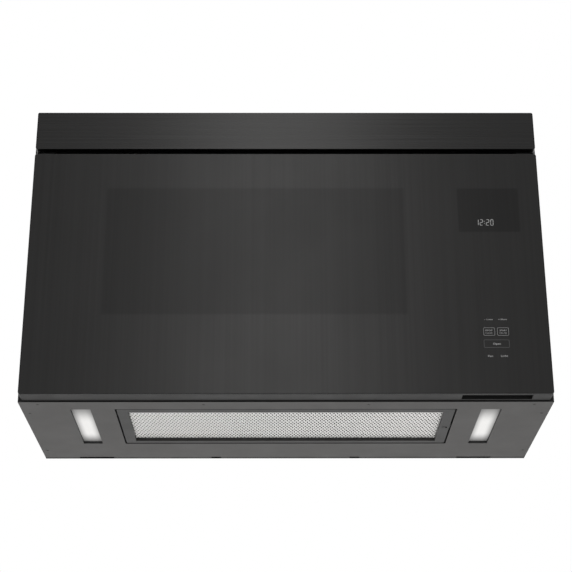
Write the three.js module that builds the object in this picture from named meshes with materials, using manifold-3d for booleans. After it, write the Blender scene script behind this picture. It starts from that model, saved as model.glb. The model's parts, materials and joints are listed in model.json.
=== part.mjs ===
// An over the range microwave hood of the flush, 30 inch kind, built as its real assembly.
// Units are millimetres. Inside this file x runs to the right, y runs back from the front plane
// of the cabinet (the door stands in front of it, at negative y) and z runs up from the underside.
// The exported group is shifted so that the origin is the centre of the wall plate's back face.

import * as THREE from "three";
import { mergeVertices } from "three/addons/utils/BufferGeometryUtils.js";
import Module from "manifold-3d";

const wasm = await Module();
wasm.setup();

// ---------------------------------------------------------------- driving dimensions

const SEAT = 0.3; // gap between pieces that rest on or are fixed to each other
const SHEET = 1; // steel sheet of the cabinet and the cavity

const BODY_WIDTH = 759; // fits the 762 mm gap between wall cabinets
const BODY_HEIGHT = 455;
const BODY_DEPTH = 280; // front plane of the cabinet to the wall
const PLATE_RECESS = 12; // room behind the rear panel for the wall plate

const WALL_PLATE_INSET = 15.5; // its ends to the cabinet's sides
const WALL_PLATE_BOTTOM = 14; // its lower edge above the underside
const WALL_PLATE_DROP = 21; // its upper edge below the cabinet's top
const WALL_PLATE_SHEET = 1.5;
const WALL_PLATE_BAR = 46; // width of the bars around its two windows
const WALL_SCREW_SPACING = 406; // the spacing of wall studs
const WALL_SLOT_WIDTH = 22;
const WALL_SLOT_HEIGHT = 6;
const WALL_TAB_WIDTH = 54; // the two wide tabs that the cabinet's lower rear edge hangs on
const WALL_TAB_INSET = 81.5; // their middles to the cabinet's sides
const GUIDE_TAB_WIDTH = 15; // the two narrow tabs that guide it sideways
const GUIDE_TAB_X = 109.5;
const TAB_LIP = 9; // the tabs' turned-up ends
const TAB_REACH = 18; // how far the tabs stand forward of the wall
const TAB_RAISE = 2; // underside of the tabs above the door's lower edge

const TAB_SLOT_REAR = 1; // the base pan's slots under the tabs: their rear edge to the wall
const TAB_SLOT_DEPTH = 8.3;
const PAN_SCREWS = [
  // the base pan's screws, as distances to the cabinet's side and from its front plane
  [26.6, 10.8],
  [9.5, 50.7],
  [8.5, 234],
  [262, 11.7],
];
const PAN_SCREW_R = 2.2;

const DOOR_REVEAL = 4.5; // the cabinet's sides beyond the door's edges
const DOOR_BOTTOM = 2; // above the underside
const DOOR_PROUD = 29.8; // front of the glass to the cabinet's front plane
const DOOR_GAP = 1.5; // between the door's back and the front frame
const DOOR_WALL = 2.5; // the moulded frame's wall
const DOOR_CORNER = 3; // radius of the door's corners
const GLASS_THICK = 3.2;
const GLASS_BEVEL = 0.6;

const PULL_WIDTH = 99.5; // finger pocket in the door's lower edge
const PULL_INSET = 77.8; // its middle to the door's right edge
const PULL_DEPTH = 17.8; // front to back
const PULL_HEIGHT = 24;
const PULL_WALL = 1.2;
const PULL_BACK = 5.5; // back of the pocket's mouth to the front plane
const PULL_CORNER = 5;

const VENT_GAP = 8; // slot between door and top trim
const TRIM_PROUD = 30; // its face stands a hair in front of the glass
const TRIM_INSET = 0.5; // its ends to the door's edges
const TRIM_HEIGHT = 62;
const TRIM_REVEAL = 4; // the cabinet's top above the trim
const TRIM_CORNER = 2.5;
const TRIM_RETURN = 12; // the turned-in lower edge

const GRILLE_INSET = 29.5; // its ends to the cabinet's sides
const GRILLE_RAISE = 2; // its lower edge above the trim's
const GRILLE_DROP = 6; // its upper edge below the trim's
const GRILLE_DEPTH = 5;
const GRILLE_RIM = 3;
const GRILLE_RIBS = 11; // upright ribs
const GRILLE_RIB_THICK = 1.6;
const GRILLE_SLATS = 3; // tilted slats
const SLAT_THICK = 1.5;
const SLAT_RISE = 3.5; // from the slat's front to its back
const CHARCOAL_WIDTH = 420;
const CHARCOAL_THICK = 12;
const CHARCOAL_POCKETS = 10;
const CHARCOAL_WEB = 6; // between two pockets, and round them
const CHARCOAL_POCKET = 3; // depth of a pocket

const CAVITY_SIDE = 69.5; // the cavity to the cabinet's left side
const BAY_WIDTH = 159.5; // the cavity to the cabinet's right side, where the generator stands
const CAVITY_HEADROOM = 41; // the cavity's ceiling below the door's upper edge
const CAVITY_REAR = 27; // the cavity's back to the rear panel
const CAVITY_FLOOR = 105; // top of the ceramic floor above the underside
const CAVITY_CORNER = 14; // radius of its upper corners
const CERAMIC_THICK = 4.7;
const WELL_DEPTH = 7; // room for the stirrer under the ceramic floor
const WELL_LEDGE = 16; // the step that the ceramic floor lies on
const LAMP_HOLES = 4; // rows and columns of the lamp's perforation
const LAMP_HOLE_R = 2.2;
const LAMP_HOLE_PITCH = 8;
const LAMP_DROP = 38; // middle of the lamp below the ceiling
const LAMP_Y = 36;
const LAMP_MARGIN = 3; // the lamp's housing beyond its holes
const LAMP_WALL = 1.5;
const LAMP_DEPTH = 16;
const LAMP_LED = 10;

const GUIDE_HEIGHT = 30; // waveguide
const GUIDE_WIDTH = 90;
const STIRRER_REAR = 115; // stirrer axis and waveguide centre line to the cavity's back
const STIRRER_R = 62;
const STIRRER_PETALS = 4;
const STIRRER_SHEET = 1.2;
const STIRRER_HOLE_R = 24; // opening that feeds the well
const STIRRER_SHAFT_R = 3;
const STIRRER_MOTOR_R = 24;
const STIRRER_MOTOR_HEIGHT = 14;

const MAGNETRON_INSET = 80; // magnetron axis to the cavity
const MAGNETRON_WIDTH = 92;
const MAGNETRON_DEPTH = 78;
const MAGNETRON_HEIGHT = 72;
const MAGNETRON_FINS = 6;
const MAGNETRON_CORE_R = 19;
const MAGNET_R = 27;
const MAGNET_HEIGHT = 12.5;
const YOKE_SHEET = 2.5;
const YOKE_INSET = 6; // the fins' ends behind the yoke's open sides
const FIN_SHEET = 0.8;
const FILTER_BOX_WIDTH = 60;
const FILTER_BOX_DEPTH = 50;
const FILTER_BOX_HEIGHT = 30;
const PLUG_WIDTH = 26;
const PLUG_HEIGHT = 14;
const PLUG_OUT = 19;
const ANTENNA_R = 8;
const ANTENNA_LENGTH = 22;

const FAN_R = 44; // cooling fan
const FAN_Z = 152;
const FAN_BLADES = 5;
const FAN_TIP_GAP = 2.5;
const FAN_THROAT = 20; // length of the shroud's mouth
const FAN_HUB_R = 13;
const FAN_HUB_LENGTH = 14;
const FAN_BLADE_WIDTH = 14;
const FAN_BLADE_SHEET = 1.6;
const FAN_BLADE_PITCH = 34; // degrees
const FAN_SHAFT_R = 2.5;
const FAN_MOTOR_R = 24;
const FAN_MOTOR_LENGTH = 22;
const SHROUD_SHEET = 2;
const SHROUD_MARGIN = 5; // the shroud's plate beyond its mouth
const SHROUD_LEG = 10;

const TRAY_BOTTOM = 214; // inverter tray above the underside
const TRAY_WIDTH = 138;
const TRAY_DEPTH = 150;
const TRAY_FRONT = 58;
const TRAY_WALL = 1.5;
const TRAY_HEIGHT = 14;
const TRAY_FLANGE = 22; // the flange on the cavity's side above the tray
const TRAY_FLANGE_INSET = 12;
const TRAY_POST_R = 3.5;
const TRAY_POST_INSET = 11;
const STANDOFF = 7;
const BOARD_INSET = 6; // the inverter board in its tray
const BOARD_THICK = 1.6;
const CAN_R = 9; // the inverter's three capacitors
const CAN_HEIGHT = 30;
const CAN_PITCH = 24;
const CAN_INSET = 16; // their axes to the board's left edge
const CAN_FIRST = 18; // and the first one's to its front edge
const SOCKET_WIDTH = 18;
const SOCKET_DEPTH = 10;
const SOCKET_HEIGHT = 12;
const SOCKET_INSET = 48;
const SINK_FINS = 9;
const SINK_FIN = 1.8;
const SINK_BASE = 4;
const SINK_PITCH = 5.5;
const SINK_HEIGHT = 42;
const SINK_RIGHT = 3; // its side to the board's right edge
const SINK_END = 24; // its ends to the board's front and rear edges
const CORE_WIDTH = 22; // the transformer's ferrite core
const CORE_DEPTH = 62;
const CORE_HEIGHT = 48;
const CORE_WALL = 9;
const CORE_LEFT = 52; // its middle to the tray's left side
const CORE_REAR = 45; // and to the tray's rear
const WINDING_R = 19;
const WINDING_HEIGHT = 26;
const TERMINAL_WIDTH = 40;
const TERMINAL_HEIGHT = 12;
const TERMINAL_DEPTH = 10;
const POWER_BOARD_EDGE = 24; // the power board's ends to the sides of the bay
const POWER_BOARD_RAISE = 8; // its lower edge above the tray's underside
const POWER_BOARD_DROP = 14; // its upper edge below the air deck
const SPACER_R = 3;
const SPACER_INSET = 7;
const CAPACITOR_R = 13;
const RELAY_WIDTH = 15;
const RELAY_LENGTH = 28;
const RELAY_HEIGHT = 16;
const RELAY_GAP = 5;
const COIL_R = 9; // the solenoid's winding and the mains filter's

const BLOWER_REAR = 112; // blower axis to the wall
const WHEEL_R = 38;
const WHEEL_LENGTH = 82;
const WHEEL_GAP = 6; // motor to wheel
const WHEEL_BLADES = 18;
const BLADE_CHORD = 8; // radial depth of a blade
const BLADE_SWEEP = 0.35; // how far it curves forward, in radians
const SCROLL_WALL = 1.5;
const SCROLL_GAP = 5; // between wheel and scroll at its nearest
const SCROLL_SPREAD = 9; // how much the scroll's radius grows in its turn
const BLOWER_MOTOR_R = 33;
const BLOWER_MOTOR_LENGTH = 72;
const SHAFT_R = 4;

const PORT_WIDTH = 254; // the standard 10 by 3 1/4 inch exhaust
const PORT_DEPTH = 82.5;
const PORT_REAR = 80; // its middle to the wall
const PORT_RECESS = 3; // the roof is sunk round it, so that the cabinet above lies flat
const RECESS_GAP = 3; // between the flange and the sunk part's side
const COLLAR_HEIGHT = 27; // from its flange's underside
const COLLAR_WALL = 1.2;
const COLLAR_FLANGE = 17;
const FLAP_THICK = 1;
const FLAP_PIN_R = 2;
const FLAP_GAP = 1; // flap's edge to the collar
const FLAP_RISE = 10; // its axis above the collar's flange

const BOLT_INSET = 117.5; // the two cabinet bolts to the cabinet's sides
const BOLT_Y = 46;
const BOLT_HOLE_R = 4;
const BOLT_THREAD_R = 3;
const RAIL_OVERHANG = 40; // the bolts' rail beyond them
const RAIL_DEPTH = 34;
const RAIL_HEIGHT = 12;
const RAIL_SHEET = 2;
const CORD_INSET = 41.5; // the cord's hole to the cabinet's right side
const CORD_REAR = 48; // and to the wall
const CORD_HOLE_R = 14;
const CORD_RECESS = 5; // the roof is sunk here too
const BUSHING_WALL = 6;
const BUSHING_LIP = 3;
const BUSHING_HEAD = 3.7;
const BUSHING_BELOW = 7;

const FILTER_HOLE_WIDTH = 491.6; // grease filter's opening in the base pan
const FILTER_HOLE_FRONT = 33;
const FILTER_HOLE_DEPTH = 166;
const FILTER_END_GAP = 2.2;
const FILTER_SIDE_GAP = 1.6;
const FILTER_THICK = 11;
const FILTER_FACE = 0.4; // the frame's face above the underside
const FILTER_BAR_X = 15.2; // the frame's bars at its two ends
const FILTER_BAR_FRONT = 14.4; // along its front
const FILTER_BAR_REAR = 10.4; // and along its back
const MESH_RECESS = 5.2; // pad above the frame's face
const MESH_THICK = 3;
const MESH_TUCK = 3; // how far the pad reaches into the frame's groove
const MESH_COLUMNS = 9; // diamonds of the expanded metal
const MESH_ROWS = 5;
const MESH_STRAND = 3.4;
const TAB_SIZE = 14; // tabs that hang the frame's left end on the pan
const TAB_OUT = 3.5;
const TAB_SHEET = 1.2;
const TAB_INSET = 30; // the tabs' middles to the frame's front and back
const CATCH_INSET = 10.5; // the sliding catch's knob to the opening's right edge
const CATCH_OFFSET = 3.3; // and behind the opening's middle
const CATCH_WIDTH = 12;
const CATCH_THICK = 2.8;
const CATCH_CLEAR = 0.6; // nose to the pan's rim while the catch is drawn back
const CATCH_KNOB_R = 2.2;
const CATCH_BACK = 5; // catch behind its knob
const CATCH_TRAVEL = 2.5; // into the rim's slot

const LENS_WIDTH = 29; // task light windows in the base pan
const LENS_DEPTH = 166;
const LENS_FRONT = 33;
const LENS_GAP = 35; // the filter's opening to the lens's
const LENS_THICK = 2;
const LENS_LAP = 3; // the lens beyond its opening
const LENS_RIM = 3.6; // turned-up rim that the lens lies on
const LIGHT_HEIGHT = 20;
const LIGHT_WALL = 1.5;
const LIGHT_EAR = 10; // screw ears beyond the light's housing
const LIGHT_EAR_WIDTH = 12;
const LIGHT_EAR_SHEET = 2;
const LED_COUNT = 6;
const LED_SIZE = 6;
const LED_HEIGHT = 3;

const HINGE_EDGE = 5; // hinge axis in from the door's left edge
const HINGE_BACK = 14.5; // hinge axis forward of the door's back
const HINGE_RISE = 15; // lower hinge plate above the door's lower edge
const HINGE_PLATE = 2.5;
const HINGE_ARM = 12; // width of the hinge plates
const HINGE_LEAF = 44; // height of the leaf behind the front frame
const HINGE_LEAF_WIDTH = 30;
const HINGE_SHEET = 2; // thickness of the leaf
const PIN_R = 2.5;
const PIN_LENGTH = 8;
const PIN_CLEARANCE = 0.3;

const LATCH_INSET = 44; // the latch hooks' plane to the cavity
const LATCH_LOW = 92; // lower hook above the underside
const LATCH_DOWN = 22; // upper hook below the cavity's ceiling
const HOOK_REACH = 18; // behind the cabinet's front plane
const HOOK_HEIGHT = 6;
const HOOK_DROP = 4; // depth of the barb
const HOOK_BARB = 6; // length of the barb
const HOOK_THICK = 3;
const LATCH_DROP = 3.6; // how far the hooks fall to latch
const LATCH_LIFT = 2; // and how far they rise over the sill
const SLOT_CLEARANCE = 2;
const BOARD_DEPTH = 38; // latch board
const CHAMBER_WALL = 2;
const CHAMBER_BELOW = 16;
const CHAMBER_ABOVE = 22;
const SWITCH_WIDTH = 9.6;
const SWITCH_DEPTH = 16;
const SWITCH_HEIGHT = 27;
const BUTTON_WIDTH = 5;
const BUTTON_DEPTH = 5; // depth of its pocket in the switch
const BUTTON_RISE = 2.5;
const BUTTON_TRAVEL = 1.5;
const PLUNGER_R = 2.6; // door release
const PLUNGER_OUT = 5; // its end below the solenoid
const SOLENOID_HEIGHT = 34;
const SOLENOID_WIDTH = 24;
const SOLENOID_DEPTH = 26;
const SOLENOID_SHEET = 1.5;
const SPRING_R = 3;
const SPRING_WIRE = 0.7;
const SPRING_TURNS = 7;
const SPRING_LENGTH = 34;
const SPRING_INSET = 12; // the spring's axis beside the hooks
const SPRING_FRONT = 7; // and in front of the door's back flange
const SPRING_POST_R = 2;
const RIB_OFFSETS = [-55, 31]; // the door's stiffening ribs below and above the spring
const RIB_THICK = 2;

const CHOKE_INNER = 4; // choke channel, from the edge of the cavity's opening
const CHOKE_OUTER = 30;
const CHOKE_DEPTH = 14;
const COMB_PITCH = 38;
const COMB_SLIT = 5;
const COMB_ROOT = 4; // the slits end above the channel's floor
const COMB_SHORT = 0.8; // the comb's tips below the plateau
const COVER_THICK = 1;
const COVER_LAP = 8; // the choke's cover over the plateau's edge
const WINDOW_MARGIN_X = 34.75; // the window's pane within the cavity's opening
const WINDOW_MARGIN_Z = 6;
const WINDOW_CORNER = 5;

const DISPLAY_WIDTH = 88.5;
const DISPLAY_HEIGHT = 73;
const DISPLAY_DEPTH = 10;
const DISPLAY_INSET = 75.5; // its middle to the door's right edge
const DISPLAY_DROP = 95; // and below the door's upper edge
const DISPLAY_WALL = 2;
const DISPLAY_SCREEN = 4; // thickness of its screen
const DISPLAY_CHIP_WIDTH = 40;
const DISPLAY_CHIP_HEIGHT = 24;
const DISPLAY_CHIP_THICK = 4;
const KEYS_WIDTH = 62;
const KEYS_HEIGHT = 92;
const KEYS_INSET = 76.7; // the touch board's middle to the door's right edge
const KEYS_RAISE = 84; // and above the door's lower edge

// ---------------------------------------------------------------- derived places

const HALF_BODY = BODY_WIDTH / 2;
const INNER_HALF = HALF_BODY - SHEET - SEAT; // half width of what stands between the wrap's sides
const BODY_TOP = BODY_HEIGHT - SHEET - SEAT; // top of what stands under the wrap
const REAR_BACK = BODY_DEPTH - PLATE_RECESS;
const REAR_FRONT = REAR_BACK - SHEET;
const WALL_PLATE_WIDTH = BODY_WIDTH - 2 * WALL_PLATE_INSET;
const WALL_PLATE_HEIGHT = BODY_HEIGHT - WALL_PLATE_BOTTOM - WALL_PLATE_DROP;
const WALL_TAB_X = HALF_BODY - WALL_TAB_INSET;
const PAN_LIP = 16; // height of the base pan's front flange
const FRAME_BOTTOM = PAN_LIP + SEAT;

const DOOR_WIDTH = BODY_WIDTH - 2 * DOOR_REVEAL;
const DOOR_EDGE = DOOR_WIDTH / 2;
const TRIM_WIDTH = DOOR_WIDTH - 2 * TRIM_INSET;
const TRIM_TOP = BODY_HEIGHT - TRIM_REVEAL;
const TRIM_BOTTOM = TRIM_TOP - TRIM_HEIGHT;
const DOOR_TOP = TRIM_BOTTOM - VENT_GAP;
const GLASS_BACK = -DOOR_PROUD + GLASS_THICK;
const FRAME_FRONT = GLASS_BACK + SEAT; // front of everything behind the glass
const DOOR_BACK = -DOOR_GAP;

const CAVITY_LEFT = -HALF_BODY + CAVITY_SIDE;
const CAVITY_RIGHT = HALF_BODY - BAY_WIDTH;
const CAVITY_CENTRE_X = (CAVITY_LEFT + CAVITY_RIGHT) / 2;
const CAVITY_DEPTH = REAR_FRONT - CAVITY_REAR;
const CAVITY_TOP = DOOR_TOP - CAVITY_HEADROOM;
const LEDGE_Z = CAVITY_FLOOR - CERAMIC_THICK - SEAT;
const WELL_Z = LEDGE_Z - WELL_DEPTH;
const LINER_FRONT = SHEET + SEAT;
const LINER_BOTTOM = WELL_Z - SHEET;
const LAMP_Z = CAVITY_TOP - LAMP_DROP;
const BAY_LEFT = CAVITY_RIGHT + SHEET + SEAT; // component bay beside the cavity
const ROOF = CAVITY_TOP + SHEET + SEAT; // floor of the room above the cavity
const DECK_TOP = ROOF + SHEET;
const BLOWER_Y = BODY_DEPTH - BLOWER_REAR;
const BLOWER_Z = (DECK_TOP + BODY_TOP) / 2;
const STIRRER_Y = CAVITY_DEPTH - STIRRER_REAR;
const MAGNETRON_X = CAVITY_RIGHT + MAGNETRON_INSET;
const LATCH_X = CAVITY_RIGHT + LATCH_INSET;
const LATCH_HIGH = CAVITY_TOP - LATCH_DOWN;

const GUIDE_TOP = LINER_BOTTOM - SEAT;
const GUIDE_BOTTOM = GUIDE_TOP - GUIDE_HEIGHT;
const GUIDE_RIGHT = MAGNETRON_X + MAGNETRON_WIDTH / 2;

const HINGE_X = -DOOR_EDGE + HINGE_EDGE;
const HINGE_Y = DOOR_BACK - HINGE_BACK;
const PULL_X = DOOR_EDGE - PULL_INSET;
const DISPLAY_X = DOOR_EDGE - DISPLAY_INSET;
const DISPLAY_Z = DOOR_TOP - DISPLAY_DROP;
const KEYS_X = DOOR_EDGE - KEYS_INSET;
const KEYS_Z = DOOR_BOTTOM + KEYS_RAISE;

const WALL_PLATE_MIDDLE = WALL_PLATE_BOTTOM + WALL_PLATE_HEIGHT / 2;

// ---------------------------------------------------------------- materials

function finish(colour, roughness, metalness, extra = {}) {
  return new THREE.MeshStandardMaterial({ color: colour, roughness, metalness, ...extra });
}

const MATERIALS = {
  blackSteel: finish(0x474646, 0.42, 0.75),
  greyPaint: finish(0x62615e, 0.5, 0.35),
  smokedGlass: finish(0x393939, 0.22, 0.3),
  darkFrame: finish(0x4b4a48, 0.5, 0.3),
  blackPlastic: finish(0x101010, 0.55, 0),
  zincSteel: finish(0xa4a7a8, 0.42, 0.85),
  cavityPaint: finish(0x8c8d8c, 0.5, 0.15),
  ceramic: finish(0xd9d6cd, 0.25, 0),
  aluminium: finish(0xc4c4c0, 0.38, 0.9),
  frostedLens: finish(0xf1f1ee, 0.6, 0, { emissive: 0xffffff, emissiveIntensity: 0.6 }),
  board: finish(0x1f5a3c, 0.6, 0),
  whitePlastic: finish(0xe4e2dc, 0.55, 0),
  copper: finish(0x9a5a34, 0.4, 0.8),
  charcoal: finish(0x1b1b1b, 0.95, 0),
};

// ---------------------------------------------------------------- shapes and booleans

// Cyclic turns that carry an extrusion's own axis onto x or y without mirroring it.
const ALONG_X = new THREE.Matrix4().set(0, 0, 1, 0, 1, 0, 0, 0, 0, 1, 0, 0, 0, 0, 0, 1);
const ALONG_Y = new THREE.Matrix4().set(1, 0, 0, 0, 0, 0, -1, 0, 0, 1, 0, 0, 0, 0, 0, 1);

// A geometry as a solid that can be joined and cut.
function solid(geometry) {
  const bare = geometry.index ? geometry.toNonIndexed() : geometry;
  const positions = new THREE.BufferGeometry();
  positions.setAttribute("position", bare.getAttribute("position"));
  const merged = mergeVertices(positions, 1e-4);
  return new wasm.Manifold(
    new wasm.Mesh({
      numProp: 3,
      vertProperties: merged.attributes.position.array,
      triVerts: new Uint32Array(merged.index.array),
    }),
  );
}

// A solid as a flat-shaded geometry.
function geometryOf(body) {
  const mesh = body.getMesh();
  const points = new Float32Array(mesh.numVert * 3);
  for (let i = 0; i < mesh.numVert; i++) {
    const start = i * mesh.numProp;
    points.set(mesh.vertProperties.subarray(start, start + 3), i * 3);
  }
  const geometry = new THREE.BufferGeometry();
  geometry.setAttribute("position", new THREE.BufferAttribute(points, 3));
  geometry.setIndex(new THREE.BufferAttribute(new Uint32Array(mesh.triVerts), 1));
  const flat = geometry.toNonIndexed();
  flat.computeVertexNormals();
  return flat;
}

function join(first, ...others) {
  return others.reduce((sum, other) => sum.add(other), first);
}

function cut(first, ...others) {
  return others.reduce((rest, other) => rest.subtract(other), first);
}

// A box between two values on each axis.
function block([x0, x1], [y0, y1], [z0, z1]) {
  const geometry = new THREE.BoxGeometry(x1 - x0, y1 - y0, z1 - z0);
  geometry.translate((x0 + x1) / 2, (y0 + y1) / 2, (z0 + z1) / 2);
  return solid(geometry);
}

function extruded(shape, depth, curveSegments) {
  return new THREE.ExtrudeGeometry(shape, { depth, bevelEnabled: false, curveSegments });
}

// The shape is drawn in y and z, and runs from x0 to x1.
function alongX(shape, [x0, x1], curveSegments = 6) {
  const geometry = extruded(shape, x1 - x0, curveSegments).applyMatrix4(ALONG_X);
  return solid(geometry.translate(x0, 0, 0));
}

// The shape is drawn in x and z, and runs from y0 to y1.
function alongY(shape, [y0, y1], curveSegments = 6) {
  const geometry = extruded(shape, y1 - y0, curveSegments).applyMatrix4(ALONG_Y);
  return solid(geometry.translate(0, y1, 0));
}

// The shape is drawn in x and y, and runs from z0 to z1.
function alongZ(shape, [z0, z1], curveSegments = 6) {
  return solid(extruded(shape, z1 - z0, curveSegments).translate(0, 0, z0));
}

function circle(radius, x = 0, y = 0) {
  return new THREE.Shape().absarc(x, y, radius, 0, Math.PI * 2);
}

// A rectangle with round corners between two values each way.
function rounded([x0, x1], [y0, y1], radius) {
  const shape = new THREE.Shape();
  shape.moveTo(x0 + radius, y0);
  shape.lineTo(x1 - radius, y0);
  shape.absarc(x1 - radius, y0 + radius, radius, -Math.PI / 2, 0);
  shape.lineTo(x1, y1 - radius);
  shape.absarc(x1 - radius, y1 - radius, radius, 0, Math.PI / 2);
  shape.lineTo(x0 + radius, y1);
  shape.absarc(x0 + radius, y1 - radius, radius, Math.PI / 2, Math.PI);
  shape.lineTo(x0, y0 + radius);
  shape.absarc(x0 + radius, y0 + radius, radius, Math.PI, Math.PI * 1.5);
  shape.closePath();
  return shape;
}

// A rectangle whose two upper corners are round.
function arched([x0, x1], [y0, y1], radius) {
  const shape = new THREE.Shape();
  shape.moveTo(x0, y0);
  shape.lineTo(x1, y0);
  shape.lineTo(x1, y1 - radius);
  shape.absarc(x1 - radius, y1 - radius, radius, 0, Math.PI / 2);
  shape.lineTo(x0 + radius, y1);
  shape.absarc(x0 + radius, y1 - radius, radius, Math.PI / 2, Math.PI);
  shape.closePath();
  return shape;
}

function polygon(points) {
  return new THREE.Shape(points.map(([x, y]) => new THREE.Vector2(x, y)));
}

// A range widened by a margin on both sides, and the range of a width about a centre.
const grown = ([low, high], margin) => [low - margin, high + margin];
const about = (centre, width) => [centre - width / 2, centre + width / 2];
const shrunk = (range, margin) => grown(range, -margin);
const mirrored = ([low, high]) => [-high, -low];

function diamond(x, y, halfX, halfY) {
  return polygon([
    [x - halfX, y],
    [x, y - halfY],
    [x + halfX, y],
    [x, y + halfY],
  ]);
}

function repeat(count, make) {
  return Array.from({ length: count }, (_, i) => make(i));
}

// Evenly spread places inside a range.
function spread([low, high], count) {
  return repeat(count, (i) => low + ((high - low) * (i + 1)) / (count + 1));
}

// A turned profile of [radius, height] points about the z axis.
function turned(profile, sides = 24) {
  const points = profile.map(([radius, height]) => new THREE.Vector2(radius, height));
  return solid(new THREE.LatheGeometry(points, sides).applyMatrix4(ALONG_Y));
}

function rod(radius, [z0, z1], sides = 20) {
  const geometry = new THREE.CylinderGeometry(radius, radius, z1 - z0, sides);
  geometry.applyMatrix4(ALONG_Y);
  return solid(geometry.translate(0, 0, (z0 + z1) / 2));
}

// ---------------------------------------------------------------- scene graph

const oven = new THREE.Group();

function group(x, y, z, parent = oven) {
  const made = new THREE.Group();
  made.position.set(x, y, z);
  parent.add(made);
  return made;
}

function piece(name, body, material, parent = oven) {
  const mesh = new THREE.Mesh(geometryOf(body), material);
  mesh.name = name;
  parent.add(mesh);
  return mesh;
}

// ---------------------------------------------------------------- cabinet

const FILTER_X = about(0, FILTER_HOLE_WIDTH);
const FILTER_Y = [FILTER_HOLE_FRONT, FILTER_HOLE_FRONT + FILTER_HOLE_DEPTH];
const LENS_Y = [LENS_FRONT, LENS_FRONT + LENS_DEPTH];
const LENS_X = [FILTER_X[1] + LENS_GAP, FILTER_X[1] + LENS_GAP + LENS_WIDTH];
const LENS_RANGES = { left: mirrored(LENS_X), right: LENS_X };
const TAB_Z = [DOOR_BOTTOM + TAB_RAISE, DOOR_BOTTOM + TAB_RAISE + WALL_PLATE_SHEET];
const TABS = [
  about(-WALL_TAB_X, WALL_TAB_WIDTH),
  about(-GUIDE_TAB_X, GUIDE_TAB_WIDTH),
  about(GUIDE_TAB_X, GUIDE_TAB_WIDTH),
  about(WALL_TAB_X, WALL_TAB_WIDTH),
];

// An upright rim round a rectangle, from the sheet's underside up to a height.
function rim(xRange, yRange, height) {
  const outer = block(grown(xRange, SHEET), grown(yRange, SHEET), [0, height]);
  return cut(outer, block(xRange, yRange, [-1, height + 1]));
}

function makeBasePan() {
  const sheet = block(about(0, BODY_WIDTH), [0, BODY_DEPTH], [0, SHEET]);
  const frontFlange = block(about(0, 2 * INNER_HALF), [0, SHEET], [0, PAN_LIP]);
  const filterRim = rim(FILTER_X, FILTER_Y, FILTER_THICK);
  const lensRims = Object.values(LENS_RANGES).map((x) => rim(x, LENS_Y, LENS_RIM));
  const holes = [FILTER_X, ...Object.values(LENS_RANGES)].map((x, i) =>
    block(x, i ? LENS_Y : FILTER_Y, [-1, FILTER_THICK + 1]),
  );
  const slotY = [BODY_DEPTH - TAB_SLOT_REAR - TAB_SLOT_DEPTH, BODY_DEPTH - TAB_SLOT_REAR];
  const slots = TABS.map((x) => block(x, slotY, [-1, SHEET + 1]));
  const screwHoles = PAN_SCREWS.flatMap(([inset, y]) =>
    [inset - HALF_BODY, HALF_BODY - inset].map((x) =>
      alongZ(circle(PAN_SCREW_R, x, y), [-1, SHEET + 1], 4),
    ),
  );
  const tabSlots = filterTabRanges().map((y) =>
    block([FILTER_X[0] - 2 * SHEET, FILTER_X[0] + SHEET], grown(y, SHEET), TAB_SLOT_Z),
  );
  const noseSlot = block(
    [FILTER_X[1] - SHEET, FILTER_X[1] + 2 * SHEET],
    about(CATCH_Y, CATCH_WIDTH + 2 * SEAT),
    grown(CATCH_Z, SEAT),
  );
  const pan = cut(
    join(sheet, frontFlange, filterRim, ...lensRims),
    ...holes,
    ...slots,
    ...screwHoles,
    ...tabSlots,
    noseSlot,
  );
  piece("base_pan", pan, MATERIALS.greyPaint);
}

const PORT_X = about(0, PORT_WIDTH);
const PORT_Y = about(BODY_DEPTH - PORT_REAR, PORT_DEPTH);
const CORD_X = HALF_BODY - CORD_INSET;
const CORD_Y = BODY_DEPTH - CORD_REAR;
const BOLTS_X = [-HALF_BODY + BOLT_INSET, HALF_BODY - BOLT_INSET];

function makeWrap() {
  const outside = block(about(0, BODY_WIDTH), [0, BODY_DEPTH], [SHEET + SEAT, BODY_HEIGHT]);
  const inside = block(
    about(0, BODY_WIDTH - 2 * SHEET),
    [-1, BODY_DEPTH + 1],
    [-1, BODY_HEIGHT - SHEET],
  );
  const portMargin = COLLAR_FLANGE + RECESS_GAP;
  const cordMargin = CORD_HOLE_R + BUSHING_LIP + RECESS_GAP;
  const recesses = [
    [grown(PORT_X, portMargin), grown(PORT_Y, portMargin), PORT_RECESS],
    [about(CORD_X, 2 * cordMargin), about(CORD_Y, 2 * cordMargin), CORD_RECESS],
  ];
  const tubs = recesses.map(([x, y, depth]) =>
    block(grown(x, SHEET), grown(y, SHEET), [BODY_HEIGHT - depth - SHEET, BODY_HEIGHT - SHEET / 2]),
  );
  const hollows = recesses.map(([x, y, depth]) =>
    block(x, y, [BODY_HEIGHT - depth, BODY_HEIGHT + 1]),
  );
  const through = [BODY_HEIGHT - CORD_RECESS - 2 * SHEET, BODY_HEIGHT + SHEET];
  const port = block(PORT_X, PORT_Y, through);
  const cordHole = alongZ(circle(CORD_HOLE_R, CORD_X, CORD_Y), through, 10);
  const boltHoles = BOLTS_X.map((x) => alongZ(circle(BOLT_HOLE_R, x, BOLT_Y), through, 3));
  const shell = join(cut(outside, inside), ...tubs);
  const wrap = cut(shell, ...hollows, port, cordHole, ...boltHoles);
  piece("outer_wrap", wrap, MATERIALS.blackSteel);
}

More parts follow.
